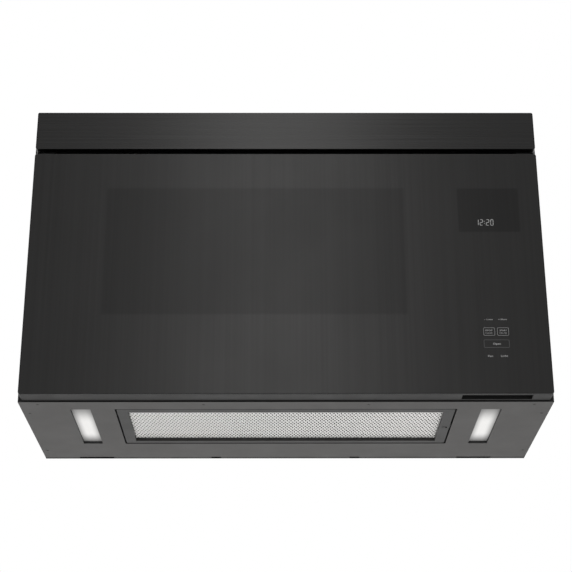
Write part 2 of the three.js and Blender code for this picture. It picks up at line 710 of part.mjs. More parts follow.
// A channel under the roof, which the two cabinet bolts screw into.
function makeTopRail() {
  const x = grown(BOLTS_X, RAIL_OVERHANG);
  const y = about(BOLT_Y, RAIL_DEPTH);
  const z = [BODY_TOP - RAIL_HEIGHT, BODY_TOP];
  const inside = block(grown(x, 1), shrunk(y, RAIL_SHEET), [z[0] - 1, z[1] - RAIL_SHEET]);
  const threads = BOLTS_X.map((bolt) => alongZ(circle(BOLT_THREAD_R, bolt, BOLT_Y), grown(z, 1), 3));
  piece("top_rail", cut(block(x, y, z), inside, ...threads), MATERIALS.zincSteel);
}

// The bushing that the supply cord comes out of, in its hole in the roof.
function makeCordBushing() {
  const bore = CORD_HOLE_R - BUSHING_WALL;
  const neck = CORD_HOLE_R - SEAT;
  const seat = SHEET + SEAT;
  const profile = [
    [bore, -BUSHING_BELOW],
    [neck, -BUSHING_BELOW],
    [neck, seat],
    [CORD_HOLE_R + BUSHING_LIP, seat],
    [CORD_HOLE_R + BUSHING_LIP / 2, seat + BUSHING_HEAD],
    [bore, seat + BUSHING_HEAD],
    [bore, -BUSHING_BELOW],
  ];
  const place = group(CORD_X, CORD_Y, BODY_HEIGHT - CORD_RECESS - SHEET);
  piece("cord_bushing", turned(profile, 14), MATERIALS.blackPlastic, place);
}

function makeRearPanel() {
  const z = [SHEET + SEAT, BODY_TOP];
  const sheet = block(about(0, 2 * INNER_HALF), [REAR_FRONT, REAR_BACK], z);
  const notches = TABS.map((x) =>
    block(grown(x, SLOT_CLEARANCE), [REAR_FRONT - 1, REAR_BACK + 1], [0, TAB_Z[1] + SEAT]),
  );
  piece("rear_panel", cut(sheet, ...notches), MATERIALS.zincSteel);
}

function makeWallPlate() {
  const wall = [BODY_DEPTH - WALL_PLATE_SHEET, BODY_DEPTH];
  const plateZ = [WALL_PLATE_BOTTOM, WALL_PLATE_BOTTOM + WALL_PLATE_HEIGHT];
  const sheet = block(about(0, WALL_PLATE_WIDTH), wall, plateZ);
  const windowX = [WALL_PLATE_BAR / 2, WALL_PLATE_WIDTH / 2 - WALL_PLATE_BAR];
  const windows = [windowX, mirrored(windowX)].map((x) =>
    block(x, grown(wall, 1), shrunk(plateZ, WALL_PLATE_BAR)),
  );
  const screwSlots = [-1, 1].flatMap((side) =>
    shrunk(plateZ, WALL_PLATE_BAR / 2).map((z) => {
      const x = about((side * WALL_SCREW_SPACING) / 2, WALL_SLOT_WIDTH);
      return block(x, grown(wall, 1), about(z, WALL_SLOT_HEIGHT));
    }),
  );
  // Each tab drops from the lower bar, runs forward and turns up behind the rear panel.
  const tabs = TABS.map((x) => {
    const drop = block(x, wall, [TAB_Z[0], WALL_PLATE_BOTTOM + 1]);
    const reach = block(x, [BODY_DEPTH - TAB_REACH, BODY_DEPTH], TAB_Z);
    const lipY = [BODY_DEPTH - TAB_REACH, BODY_DEPTH - TAB_REACH + WALL_PLATE_SHEET];
    return join(drop, reach, block(x, lipY, [TAB_Z[0], TAB_Z[0] + TAB_LIP]));
  });
  const plate = cut(join(sheet, ...tabs), ...windows, ...screwSlots);
  piece("wall_plate", plate, MATERIALS.zincSteel);
}

const GRILLE_X = shrunk([-HALF_BODY, HALF_BODY], GRILLE_INSET);
const GRILLE_Z = [TRIM_BOTTOM + GRILLE_RAISE, TRIM_TOP - GRILLE_DROP];
const HOOK_SLOT_Z = [
  -HOOK_DROP - LATCH_DROP - SLOT_CLEARANCE,
  HOOK_HEIGHT + LATCH_LIFT + SLOT_CLEARANCE,
];
const HINGE_PLATES = {
  lower: [DOOR_BOTTOM + HINGE_RISE, DOOR_BOTTOM + HINGE_RISE + HINGE_PLATE],
  upper: [DOOR_TOP - HINGE_RISE - HINGE_PLATE, DOOR_TOP - HINGE_RISE],
};

function hookSlot(base, yRange) {
  const z = HOOK_SLOT_Z.map((offset) => base + offset);
  return block(grown(about(LATCH_X, HOOK_THICK), SLOT_CLEARANCE), yRange, z);
}

function makeFrontFrame() {
  const sheet = block(about(0, 2 * INNER_HALF), [0, SHEET], [FRAME_BOTTOM, BODY_TOP]);
  const cavityMouth = alongY(
    arched([CAVITY_LEFT, CAVITY_RIGHT], [LEDGE_Z, CAVITY_TOP], CAVITY_CORNER),
    [-1, SHEET + 1],
  );
  const ventMouth = block(grown(GRILLE_X, SEAT), [-1, SHEET + 1], grown(GRILLE_Z, SEAT));
  const hookSlots = [LATCH_LOW, LATCH_HIGH].map((z) => hookSlot(z, [-1, SHEET + 1]));
  const hingeSlots = Object.values(HINGE_PLATES).map((z) =>
    block(grown(about(HINGE_X, HINGE_ARM), SEAT), [-1, SHEET + 1], grown(z, SEAT)),
  );
  const frame = cut(sheet, cavityMouth, ventMouth, ...hookSlots, ...hingeSlots);
  piece("front_frame", frame, MATERIALS.cavityPaint);
}

// A black moulding of upright ribs and tilted slats behind the slot over the door.
function makeVentGrille() {
  const y = [SHEET - GRILLE_DEPTH, SHEET];
  const outline = block(GRILLE_X, y, GRILLE_Z);
  const opening = block(shrunk(GRILLE_X, GRILLE_RIM), grown(y, 1), shrunk(GRILLE_Z, GRILLE_RIM));
  const ribs = spread(shrunk(GRILLE_X, GRILLE_RIM), GRILLE_RIBS).map((x) =>
    block(about(x, GRILLE_RIB_THICK), y, shrunk(GRILLE_Z, 1)),
  );
  const slats = spread(shrunk(GRILLE_Z, GRILLE_RIM), GRILLE_SLATS).map((z) => {
    const [low, high] = about(z, SLAT_RISE);
    const section = polygon([
      [y[0], low - SLAT_THICK / 2],
      [y[1], high - SLAT_THICK / 2],
      [y[1], high + SLAT_THICK / 2],
      [y[0], low + SLAT_THICK / 2],
    ]);
    return alongX(section, shrunk(GRILLE_X, 1));
  });
  piece("vent_grille", join(cut(outline, opening), ...ribs, ...slats), MATERIALS.blackPlastic);

  // The carbon pad clips to the back of the grille. Its face is cut into pockets.
  const padY = [SHEET + SEAT, SHEET + SEAT + CHARCOAL_THICK];
  const padX = about(0, CHARCOAL_WIDTH);
  const pad = block(padX, padY, shrunk(GRILLE_Z, 1));
  const pitch = CHARCOAL_WIDTH / CHARCOAL_POCKETS;
  const pockets = repeat(CHARCOAL_POCKETS, (i) =>
    block(
      about(padX[0] + pitch * (i + 0.5), pitch - CHARCOAL_WEB),
      [padY[0] - 1, padY[0] + CHARCOAL_POCKET],
      shrunk(GRILLE_Z, 1 + CHARCOAL_WEB),
    ),
  );
  piece("charcoal_filter", cut(pad, ...pockets), MATERIALS.charcoal);
}

function makeTopTrim() {
  const front = -TRIM_PROUD;
  const face = alongY(
    rounded(about(0, TRIM_WIDTH), [TRIM_BOTTOM, TRIM_TOP], TRIM_CORNER),
    [front, -SEAT],
    3,
  );
  const hollowX = shrunk(about(0, TRIM_WIDTH), SHEET);
  const hollow = block(hollowX, [front + SHEET, 1], [TRIM_BOTTOM + SHEET, TRIM_TOP - SHEET]);
  // Below, only a narrow return is left, so that the air can fall out of the slot.
  const mouth = block(hollowX, [front + TRIM_RETURN, 1], [TRIM_BOTTOM - 1, TRIM_TOP - SHEET]);
  piece("top_trim", cut(face, hollow, mouth), MATERIALS.blackSteel);
}

// ---------------------------------------------------------------- cooking cavity

function makeCavity() {
  const across = [CAVITY_LEFT, CAVITY_RIGHT];
  const upright = [LEDGE_Z, CAVITY_TOP];
  const wellX = shrunk(across, WELL_LEDGE);
  const wellY = [LINER_FRONT + WELL_LEDGE, CAVITY_DEPTH - WELL_LEDGE];
  const shell = alongY(
    arched(grown(across, SHEET), grown(upright, SHEET), CAVITY_CORNER + SHEET),
    [LINER_FRONT, CAVITY_DEPTH + SHEET],
  );
  const hollow = alongY(arched(across, upright, CAVITY_CORNER), [0, CAVITY_DEPTH]);
  const wellShell = block(grown(wellX, SHEET), grown(wellY, SHEET), [LINER_BOTTOM, LEDGE_Z]);
  const wellHollow = block(wellX, wellY, [WELL_Z, LEDGE_Z + 1]);
  const feed = alongZ(circle(STIRRER_HOLE_R, CAVITY_CENTRE_X, STIRRER_Y), [
    LINER_BOTTOM - 1,
    WELL_Z + 1,
  ]);
  const lampHoles = repeat(LAMP_HOLES * LAMP_HOLES, (i) => {
    const y = LAMP_Y + ((i % LAMP_HOLES) - (LAMP_HOLES - 1) / 2) * LAMP_HOLE_PITCH;
    const z = LAMP_Z + (Math.floor(i / LAMP_HOLES) - (LAMP_HOLES - 1) / 2) * LAMP_HOLE_PITCH;
    return alongX(circle(LAMP_HOLE_R, y, z), [CAVITY_RIGHT - 1, CAVITY_RIGHT + SHEET + 1], 2);
  });
  const liner = cut(join(shell, wellShell), hollow, wellHollow, feed, ...lampHoles);
  piece("cavity_liner", liner, MATERIALS.cavityPaint);

  const floorShape = rounded(shrunk(across, SEAT), [LINER_FRONT + SEAT, CAVITY_DEPTH - SEAT], 4);
  const floor = alongZ(floorShape, [CAVITY_FLOOR - CERAMIC_THICK, CAVITY_FLOOR], 3);
  piece("cavity_floor", floor, MATERIALS.ceramic);
}

function makeCavityLamp() {
  const size = LAMP_HOLES * LAMP_HOLE_PITCH + 2 * LAMP_MARGIN;
  const y = about(LAMP_Y, size);
  const z = about(LAMP_Z, size);
  const back = BAY_LEFT + LAMP_DEPTH;
  const inner = back - 2 * LAMP_WALL;
  const box = block([BAY_LEFT, back], y, z);
  const inside = block([BAY_LEFT - 1, inner], shrunk(y, LAMP_WALL), shrunk(z, LAMP_WALL));
  const led = block([inner - 2, back - 1], about(LAMP_Y, LAMP_LED), about(LAMP_Z, LAMP_LED));
  piece("cavity_lamp", join(cut(box, inside), led), MATERIALS.whitePlastic);
}

// ---------------------------------------------------------------- microwave generator

function makeWaveguide() {
  const x = [CAVITY_CENTRE_X - GUIDE_WIDTH / 2, GUIDE_RIGHT];
  const y = about(STIRRER_Y, GUIDE_WIDTH);
  const z = [GUIDE_BOTTOM, GUIDE_TOP];
  const tube = cut(block(x, y, z), block(shrunk(x, SHEET), shrunk(y, SHEET), shrunk(z, SHEET)));
  const top = [GUIDE_TOP - 2 * SHEET, GUIDE_TOP + 1];
  const feed = alongZ(circle(STIRRER_HOLE_R, CAVITY_CENTRE_X, STIRRER_Y), top);
  const launch = alongZ(circle(ANTENNA_R + 4, MAGNETRON_X, STIRRER_Y), top);
  const shaftHole = alongZ(
    circle(STIRRER_SHAFT_R + 1.5, CAVITY_CENTRE_X, STIRRER_Y),
    [GUIDE_BOTTOM - 1, GUIDE_BOTTOM + 2 * SHEET],
    4,
  );
  piece("waveguide", cut(tube, feed, launch, shaftHole), MATERIALS.zincSteel);
}

// A disc antenna with petal cuts and bent vanes, on a shaft that comes up through the waveguide.
function makeStirrer() {
  const place = group(CAVITY_CENTRE_X, STIRRER_Y, 0);
  const discZ = [WELL_Z + 2, WELL_Z + 2 + STIRRER_SHEET];
  const turn = 360 / STIRRER_PETALS;
  const cuts = repeat(STIRRER_PETALS, (i) => {
    const petal = alongZ(rounded([16, STIRRER_R + 5], [-9, 9], 6), grown(discZ, 1), 1);
    return petal.rotate([0, 0, turn * (i + 0.5)]);
  });
  const vanes = repeat(STIRRER_PETALS, (i) => {
    const vane = block([STIRRER_R - 22, STIRRER_R - 8], [-1, 1], [discZ[0], discZ[1] + 1.6]);
    return vane.rotate([0, 0, turn * i]);
  });
  const motorTop = GUIDE_BOTTOM - SEAT;
  const shaft = rod(STIRRER_SHAFT_R, [motorTop - 3, discZ[1]], 12);
  const disc = cut(rod(STIRRER_R, discZ, 24), ...cuts);
  piece("stirrer", join(disc, shaft, ...vanes), MATERIALS.aluminium, place);

  const motorZ = [motorTop - STIRRER_MOTOR_HEIGHT, motorTop];
  const ears = block(about(0, 2 * STIRRER_MOTOR_R + 18), about(0, 12), [motorTop - 1.5, motorTop]);
  const socket = rod(STIRRER_SHAFT_R + SEAT, [motorTop - 5, motorTop + 1], 12);
  const motor = cut(join(rod(STIRRER_MOTOR_R, motorZ, 24), ears), socket);
  piece("stirrer_motor", motor, MATERIALS.zincSteel, place);
}

// A finned magnetron: yoke, anode core between two ring magnets, cooling fins and filter box.
function makeMagnetron() {
  const place = group(MAGNETRON_X, STIRRER_Y, GUIDE_TOP + SEAT);
  const across = about(0, MAGNETRON_WIDTH);
  const deep = about(0, MAGNETRON_DEPTH);
  const upright = [0, MAGNETRON_HEIGHT];
  const inside = shrunk(upright, YOKE_SHEET);
  const yoke = cut(
    block(across, deep, upright),
    block(shrunk(across, YOKE_SHEET), grown(deep, 1), inside),
  );
  const core = rod(MAGNETRON_CORE_R, shrunk(upright, 1), 12);
  const magnets = [
    [inside[0] - 1, inside[0] + MAGNET_HEIGHT],
    [inside[1] - MAGNET_HEIGHT, inside[1] + 1],
  ].map((z) => rod(MAGNET_R, z, 16));
  const fins = spread(shrunk(inside, MAGNET_HEIGHT), MAGNETRON_FINS).map((z) =>
    block(shrunk(across, 1), shrunk(deep, YOKE_INSET), about(z, FIN_SHEET)),
  );
  const boxZ = [MAGNETRON_HEIGHT - 1, MAGNETRON_HEIGHT + FILTER_BOX_HEIGHT];
  const boxY = about(0, FILTER_BOX_DEPTH);
  const filterBox = block(about(0, FILTER_BOX_WIDTH), boxY, boxZ);
  const plug = block(
    about(0, PLUG_WIDTH),
    [0, boxY[1] + PLUG_OUT],
    about(MAGNETRON_HEIGHT + FILTER_BOX_HEIGHT / 2, PLUG_HEIGHT),
  );
  const antenna = rod(ANTENNA_R, [-ANTENNA_LENGTH, 1], 12);
  const body = join(yoke, core, ...magnets, ...fins, filterBox, plug, antenna);
  piece("magnetron", body, MATERIALS.zincSteel, place);
}

const SHROUD_MOUTH_R = FAN_R + FAN_TIP_GAP;

// The fan stands on its motor's shaft, in a shroud on four legs that screw to the rear panel.
function makeCoolingFan() {
  const place = group(MAGNETRON_X, REAR_FRONT - SEAT, FAN_Z);
  const motorFront = -FAN_MOTOR_LENGTH - 3;
  const front = motorFront - FAN_THROAT - 1;
  const middle = front + FAN_THROAT / 2;
  const hub = alongY(circle(FAN_HUB_R), about(middle, FAN_HUB_LENGTH), 8);
  const paddle = block(
    [FAN_HUB_R - 3, FAN_R],
    about(0, FAN_BLADE_WIDTH),
    about(0, FAN_BLADE_SHEET),
  ).rotate([FAN_BLADE_PITCH, 0, 0]);
  const blades = repeat(FAN_BLADES, (i) =>
    paddle.translate([0, middle, 0]).rotate([0, (360 / FAN_BLADES) * i, 0]),
  );
  const shaft = alongY(circle(FAN_SHAFT_R), [middle, motorFront - SEAT], 4);
  piece("cooling_fan", join(hub, shaft, ...blades), MATERIALS.whitePlastic, place);

  const size = about(0, 2 * (SHROUD_MOUTH_R + SHROUD_MARGIN));
  const throat = [front, front + FAN_THROAT];
  const mouth = alongY(circle(SHROUD_MOUTH_R), grown(throat, 1), 16);
  const plate = block(size, [front, front + SHROUD_SHEET], size);
  const ring = alongY(circle(SHROUD_MOUTH_R + SHROUD_SHEET), throat, 16);
  const corners = shrunk(size, SHROUD_LEG / 2);
  const legs = corners.flatMap((x) =>
    corners.map((z) => block(about(x, SHROUD_LEG), [front, 0], about(z, SHROUD_LEG))),
  );
  piece("fan_shroud", join(cut(join(plate, ring), mouth), ...legs), MATERIALS.blackPlastic, place);

  const motor = join(
    alongY(circle(FAN_MOTOR_R), [motorFront, -2], 12),
    block(about(0, 20), [-8, 0], about(0, 2 * FAN_MOTOR_R + 16)),
  );
  piece("fan_motor", motor, MATERIALS.zincSteel, place);
}

// ---------------------------------------------------------------- inverter and power board

const TRAY_X = [BAY_LEFT, BAY_LEFT + TRAY_WIDTH];
const TRAY_Y = [TRAY_FRONT, TRAY_FRONT + TRAY_DEPTH];
const INVERTER_Z = TRAY_BOTTOM + TRAY_WALL + STANDOFF + SEAT; // underside of the inverter board
const INVERTER_TOP = INVERTER_Z + BOARD_THICK;

function makeInverterTray() {
  const z = [TRAY_BOTTOM, TRAY_BOTTOM + TRAY_HEIGHT];
  const hollow = block(
    shrunk(TRAY_X, TRAY_WALL),
    shrunk(TRAY_Y, TRAY_WALL),
    [z[0] + TRAY_WALL, z[1] + 1],
  );
  // The flange screws to the cavity's side.
  const flangeX = [TRAY_X[0], TRAY_X[0] + TRAY_WALL];
  const flange = block(flangeX, shrunk(TRAY_Y, TRAY_FLANGE_INSET), [z[0], z[1] + TRAY_FLANGE]);
  const posts = shrunk(TRAY_X, TRAY_POST_INSET).flatMap((x) =>
    shrunk(TRAY_Y, TRAY_POST_INSET).map((y) =>
      rod(TRAY_POST_R, [z[0] + 1, INVERTER_Z - SEAT], 10).translate([x, y, 0]),
    ),
  );
  const tray = join(cut(block(TRAY_X, TRAY_Y, z), hollow), flange, ...posts);
  piece("inverter_tray", tray, MATERIALS.whitePlastic);
}

// Three capacitors and two sockets stand on a board that lies flat.
function makeInverterBoard() {
  const x = shrunk(TRAY_X, BOARD_INSET);
  const y = shrunk(TRAY_Y, BOARD_INSET);
  const sheet = block(x, y, [INVERTER_Z, INVERTER_TOP]);
  const cans = repeat(3, (i) => {
    const can = rod(CAN_R, [INVERTER_Z + 1, INVERTER_TOP + CAN_HEIGHT], 14);
    return can.translate([x[0] + CAN_INSET, y[0] + CAN_FIRST + CAN_PITCH * i, 0]);
  });
  const socketZ = [INVERTER_Z + 1, INVERTER_TOP + SOCKET_HEIGHT];
  const sockets = repeat(2, (i) => {
    const socketY = y[0] + SOCKET_DEPTH * (1.2 + 1.8 * i);
    return block(about(x[0] + SOCKET_INSET, SOCKET_WIDTH), about(socketY, SOCKET_DEPTH), socketZ);
  });
  piece("inverter_board", join(sheet, ...cans, ...sockets), MATERIALS.board);
}

// An extruded comb that the fan blows through from the rear.
function makeHeatsink() {
  const width = SINK_FINS * SINK_PITCH;
  const right = TRAY_X[1] - BOARD_INSET - SINK_RIGHT;
  const outline = [[0, 0], [width, 0]];
  for (let i = SINK_FINS; i > 0; i--) {
    const edge = i * SINK_PITCH;
    outline.push([edge, SINK_HEIGHT], [edge - SINK_FIN, SINK_HEIGHT]);
    outline.push([edge - SINK_FIN, SINK_BASE], [i > 1 ? edge - SINK_PITCH : 0, SINK_BASE]);
  }
  const comb = alongY(polygon(outline), shrunk(TRAY_Y, BOARD_INSET + SINK_END));
  const place = group(right - width, 0, INVERTER_TOP + SEAT);
  piece("inverter_heatsink", comb, MATERIALS.aluminium, place);
}

// A ferrite core with a window on each side of the winding.
function makeTransformer() {
  const place = group(TRAY_X[0] + CORE_LEFT, TRAY_Y[1] - CORE_REAR, INVERTER_TOP + SEAT);
  const across = about(0, CORE_WIDTH);
  const deep = about(0, CORE_DEPTH);
  const upright = [0, CORE_HEIGHT];
  const windowY = [CORE_WALL - 2, CORE_DEPTH / 2 - 1.2 * CORE_WALL + 4];
  const windows = [windowY, mirrored(windowY)].map((y) =>
    block(grown(across, 1), y, shrunk(upright, CORE_WALL)),
  );
  const windingZ = about(CORE_HEIGHT / 2, WINDING_HEIGHT);
  const flat = block(about(0, 3 * WINDING_R), [WINDING_R + 3, 2 * WINDING_R], upright);
  const winding = cut(rod(WINDING_R, windingZ, 20), flat);
  const terminals = block(about(0, TERMINAL_WIDTH), about(0, TERMINAL_DEPTH), [0, TERMINAL_HEIGHT]);
  const body = join(cut(block(across, deep, upright), ...windows), winding, terminals);
  piece("inverter_transformer", body, MATERIALS.copper, place);
}

// The mains filter and relay board stands on spacers in front of the rear panel.
function makePowerBoard() {
  const back = REAR_FRONT - SEAT;
  const y = [back - STANDOFF - BOARD_THICK, back - STANDOFF];
  const x = shrunk([BAY_LEFT, INNER_HALF], POWER_BOARD_EDGE);
  const z = [TRAY_BOTTOM + POWER_BOARD_RAISE, ROOF - POWER_BOARD_DROP];
  const sheet = block(x, y, z);
  const spacers = shrunk(x, SPACER_INSET).flatMap((px) =>
    shrunk(z, SPACER_INSET).map((pz) => alongY(circle(SPACER_R, px, pz), [y[0], back], 4)),
  );
  const middle = (z[0] + z[1]) / 2;
  const standing = (depth) => [y[0] - depth, y[1]];
  const roundX = x[0] + 2 * CAPACITOR_R;
  const capacitor = alongY(
    circle(CAPACITOR_R, roundX, middle + 2 * CAPACITOR_R),
    standing(2 * CAPACITOR_R),
    8,
  );
  const coil = alongY(circle(COIL_R, roundX, middle - 2 * COIL_R), standing(COIL_R), 8);
  const relays = repeat(3, (i) =>
    block(
      about(roundX + 2 * RELAY_HEIGHT + (RELAY_WIDTH + RELAY_GAP) * i, RELAY_WIDTH),
      standing(RELAY_HEIGHT),
      about(middle + RELAY_LENGTH, RELAY_LENGTH),
    ),
  );
  const socketX = [roundX + SOCKET_WIDTH, x[1] - SPACER_INSET];
  const socketZ = about(z[0] + 2 * SOCKET_DEPTH, SOCKET_DEPTH);
  const sockets = block(socketX, standing(SOCKET_HEIGHT), socketZ);
  const board = join(sheet, ...spacers, capacitor, ...relays, coil, sockets);
  piece("power_board", board, MATERIALS.board);
}

// ---------------------------------------------------------------- blower and exhaust

// The deck over the cavity, with openings for the air that rises beside and behind it.
function makeAirDeck() {
  const through = [ROOF - 1, DECK_TOP + 1];
  const deckY = [LINER_FRONT, REAR_FRONT - SEAT];
  const sheet = block(about(0, 2 * INNER_HALF), deckY, [ROOF, DECK_TOP]);
  const left = block([-INNER_HALF + 12, CAVITY_LEFT - 8], [30, CAVITY_DEPTH - 10], through);
  const rearX = shrunk([CAVITY_LEFT, CAVITY_RIGHT], 20);
  const rear = block(rearX, [CAVITY_DEPTH + 5, REAR_FRONT - 5], through);
  const right = block([BAY_LEFT + 16, INNER_HALF - 12], [20, 52], through);
  const hingeLeft = HINGE_X - HINGE_ARM / 2;
  const hingeRoom = block(
    [hingeLeft - 2 * SEAT, hingeLeft + HINGE_LEAF_WIDTH + 2 * SEAT],
    [0, LINER_FRONT + HINGE_SHEET + 2 * SEAT],
    through,
  );
  piece("air_deck", cut(sheet, left, rear, right, hingeRoom), MATERIALS.zincSteel);
}

const SCROLL_START = 1.4; // angle of the tongue from the rearward direction, in radians
const SCROLL_STEPS = 15;
const WHEEL_START = BLOWER_MOTOR_LENGTH / 2 + WHEEL_GAP;
const WHEEL_X = [WHEEL_START, WHEEL_START + WHEEL_LENGTH];
const SCROLL_X = [WHEEL_X[0] - 3, WHEEL_X[1] + 3];

// The volute in y and z about the wheel's axis: it widens from the tongue to the upward outlet.
function scrollShape(margin, outletTop) {
  const radius = WHEEL_R + SCROLL_GAP + margin;
  const points = repeat(SCROLL_STEPS + 1, (i) => {
    const share = i / SCROLL_STEPS;
    const angle = SCROLL_START + (2 * Math.PI - SCROLL_START) * share;
    const r = radius + SCROLL_SPREAD * share;
    return [r * Math.cos(angle), r * Math.sin(angle)];
  });
  const outlet = [
    [radius + SCROLL_SPREAD, outletTop],
    [(WHEEL_R + SCROLL_GAP) * Math.cos(SCROLL_START) - margin, outletTop],
  ];
  return polygon([...points, ...outlet]);
}

function makeScroll(side) {
  const place = group(0, BLOWER_Y, BLOWER_Z);
  const x = side > 0 ? SCROLL_X : mirrored(SCROLL_X);
  const top = BODY_TOP - PORT_RECESS - BLOWER_Z;
  const outer = alongX(scrollShape(SCROLL_WALL, top), grown(x, SCROLL_WALL));
  const inner = alongX(scrollShape(0, top + 1), x);
  const inlets = alongX(circle(WHEEL_R - 5), grown(x, SCROLL_WALL + 1), 10);
  const name = side > 0 ? "blower_scroll_right" : "blower_scroll_left";
  piece(name, cut(outer, inner, inlets), MATERIALS.zincSteel, place);
}

// One forward-curved blade, drawn between a curve and the same curve turned a little further.
function bladeShape() {
  const steps = 2;
  const inner = WHEEL_R - 0.6 - BLADE_CHORD;
  const along = (turn) =>
    repeat(steps + 1, (i) => {
      const share = i / steps;
      const radius = inner + BLADE_CHORD * share;
      const angle = BLADE_SWEEP * share * share + turn;
      return [radius * Math.cos(angle), radius * Math.sin(angle)];
    });
  return polygon([...along(0), ...along(0.035).reverse()]);
}

// A squirrel-cage impeller: a plate and hub on the motor's side, a ring at the air inlet.
function makeWheel(side) {
  const place = group(0, BLOWER_Y, BLOWER_Z);
  const turnOver = side > 0 ? 0 : 180;
  const plate = alongX(circle(WHEEL_R), [WHEEL_X[0], WHEEL_X[0] + 1.5], 14);
  const hub = alongX(circle(10), [WHEEL_X[0], WHEEL_X[0] + 16], 8);
  const ring = cut(
    alongX(circle(WHEEL_R), [WHEEL_X[1] - 2, WHEEL_X[1]], 14),
    alongX(circle(WHEEL_R - BLADE_CHORD), [WHEEL_X[1] - 3, WHEEL_X[1] + 1], 14),
  );
  const blades = repeat(WHEEL_BLADES, (i) =>
    alongX(bladeShape(), shrunk(WHEEL_X, 0.7)).rotate([(360 / WHEEL_BLADES) * i, 0, 0]),
  );
  const bore = alongX(circle(SHAFT_R + SEAT), grown(WHEEL_X, 1), 8);
  const wheel = cut(join(plate, hub, ring, ...blades), bore).rotate([0, turnOver, 0]);
  const name = side > 0 ? "blower_wheel_right" : "blower_wheel_left";
  piece(name, wheel, MATERIALS.zincSteel, place);
}

function makeBlowerMotor() {
  const place = group(0, BLOWER_Y, BLOWER_Z);
  const half = BLOWER_MOTOR_LENGTH / 2;
  const can = alongX(circle(BLOWER_MOTOR_R), [-half + 6, half - 6], 11);
  const caps = alongX(circle(BLOWER_MOTOR_R - 9), [-half, half], 8);
  const floor = DECK_TOP + SEAT - BLOWER_Z;
  const stand = block(about(0, 24), about(0, 50), [floor, -BLOWER_MOTOR_R + 8]);
  const foot = block(about(0, 44), about(0, 70), [floor, floor + 2]);
  const bore = alongX(circle(SHAFT_R + SEAT), about(0, BLOWER_MOTOR_LENGTH + 2), 8);
  piece("blower_motor", cut(join(can, caps, stand, foot), bore), MATERIALS.zincSteel, place);

  const shaft = alongX(circle(SHAFT_R), [-WHEEL_X[0] - 20, WHEEL_X[0] + 20], 8);
  piece("blower_shaft", shaft, MATERIALS.zincSteel, place);
}

// The exhaust adapter screws to the top, and its flap falls shut when the blower stops.
function makeExhaust() {
  const base = BODY_HEIGHT - PORT_RECESS + SEAT;
  const flangeTop = base + COLLAR_WALL;
  const top = base + COLLAR_HEIGHT;
  const insideX = shrunk(PORT_X, COLLAR_WALL);
  const insideY = shrunk(PORT_Y, COLLAR_WALL);
  const pivotY = insideY[0] + FLAP_GAP + FLAP_PIN_R;
  const pivotZ = flangeTop + FLAP_RISE;
  const flangeX = grown(PORT_X, COLLAR_FLANGE);
  const flange = block(flangeX, grown(PORT_Y, COLLAR_FLANGE), [base, flangeTop]);
  const collar = block(PORT_X, PORT_Y, [base, top]);
  const stopZ = pivotZ - FLAP_THICK / 2 - SEAT;
  const stop = block(shrunk(PORT_X, 10), [insideY[1] - 5, insideY[1] + 0.5], [stopZ - 1.5, stopZ]);
  const hollow = block(insideX, insideY, [base - 1, top + 1]);
  const pinHoles = alongX(circle(FLAP_PIN_R + SEAT, pivotY, pivotZ), grown(PORT_X, 1), 5);
  const adapter = cut(join(cut(join(flange, collar), hollow), stop), pinHoles);
  piece("exhaust_adapter", adapter, MATERIALS.zincSteel);

  const place = group(0, pivotY, pivotZ);
  const reach = insideY[1] - FLAP_GAP - pivotY;
  const leaf = block(shrunk(insideX, FLAP_GAP), [0, reach], about(0, FLAP_THICK));
  const pin = alongX(circle(FLAP_PIN_R), shrunk(PORT_X, 0.2), 5);
  piece("damper_flap", join(leaf, pin), MATERIALS.zincSteel, place);
}

// ---------------------------------------------------------------- underside: lights and filter

function makeLight(side) {
  const x = LENS_RANGES[side];
  const middle = (x[0] + x[1]) / 2;
  const lensX = grown(x, LENS_LAP);
  const lensY = grown(LENS_Y, LENS_LAP);
  const lensZ = [LENS_RIM + SEAT, LENS_RIM + SEAT + LENS_THICK];
  const lens = alongZ(rounded(lensX, lensY, LENS_LAP), lensZ, 3);
  piece(`light_lens_${side}`, lens, MATERIALS.frostedLens);

  const outX = grown(lensX, SEAT + LIGHT_WALL);
  const outY = grown(lensY, SEAT + LIGHT_WALL);
  const z = [SHEET + SEAT, SHEET + SEAT + LIGHT_HEIGHT];
  const ceiling = z[1] - LIGHT_WALL;
  const hollow = block(shrunk(outX, LIGHT_WALL), shrunk(outY, LIGHT_WALL), [0, ceiling]);
  const leds = spread(grown(LENS_Y, LENS_DEPTH / LED_COUNT / 2), LED_COUNT).map((y) =>
    block(about(middle, LED_SIZE), about(y, LED_SIZE), [ceiling - LED_HEIGHT, ceiling + 0.5]),
  );
  const earZ = [z[0], z[0] + LIGHT_EAR_SHEET];
  const ears = block(about(middle, LIGHT_EAR_WIDTH), grown(outY, LIGHT_EAR), earZ);
  const shell = join(block(outX, outY, z), ears);
  piece(`light_module_${side}`, join(cut(shell, hollow), ...leds), MATERIALS.whitePlastic);
}

const FRAME_X = shrunk(FILTER_X, FILTER_END_GAP);
const FRAME_Y = shrunk(FILTER_Y, FILTER_SIDE_GAP);
const MESH_X = shrunk(FRAME_X, FILTER_BAR_X);
const MESH_Y = [FRAME_Y[0] + FILTER_BAR_FRONT, FRAME_Y[1] - FILTER_BAR_REAR];
const MESH_Z = [FILTER_FACE + MESH_RECESS, FILTER_FACE + MESH_RECESS + MESH_THICK];
const CATCH_Z = [FILTER_FACE + 1.5, FILTER_FACE + 1.5 + CATCH_THICK];
const TAB_SLOT_Z = [4, 9];
const CATCH_X = FILTER_X[1] - CATCH_INSET;
const CATCH_Y = FILTER_HOLE_FRONT + FILTER_HOLE_DEPTH / 2 + CATCH_OFFSET;

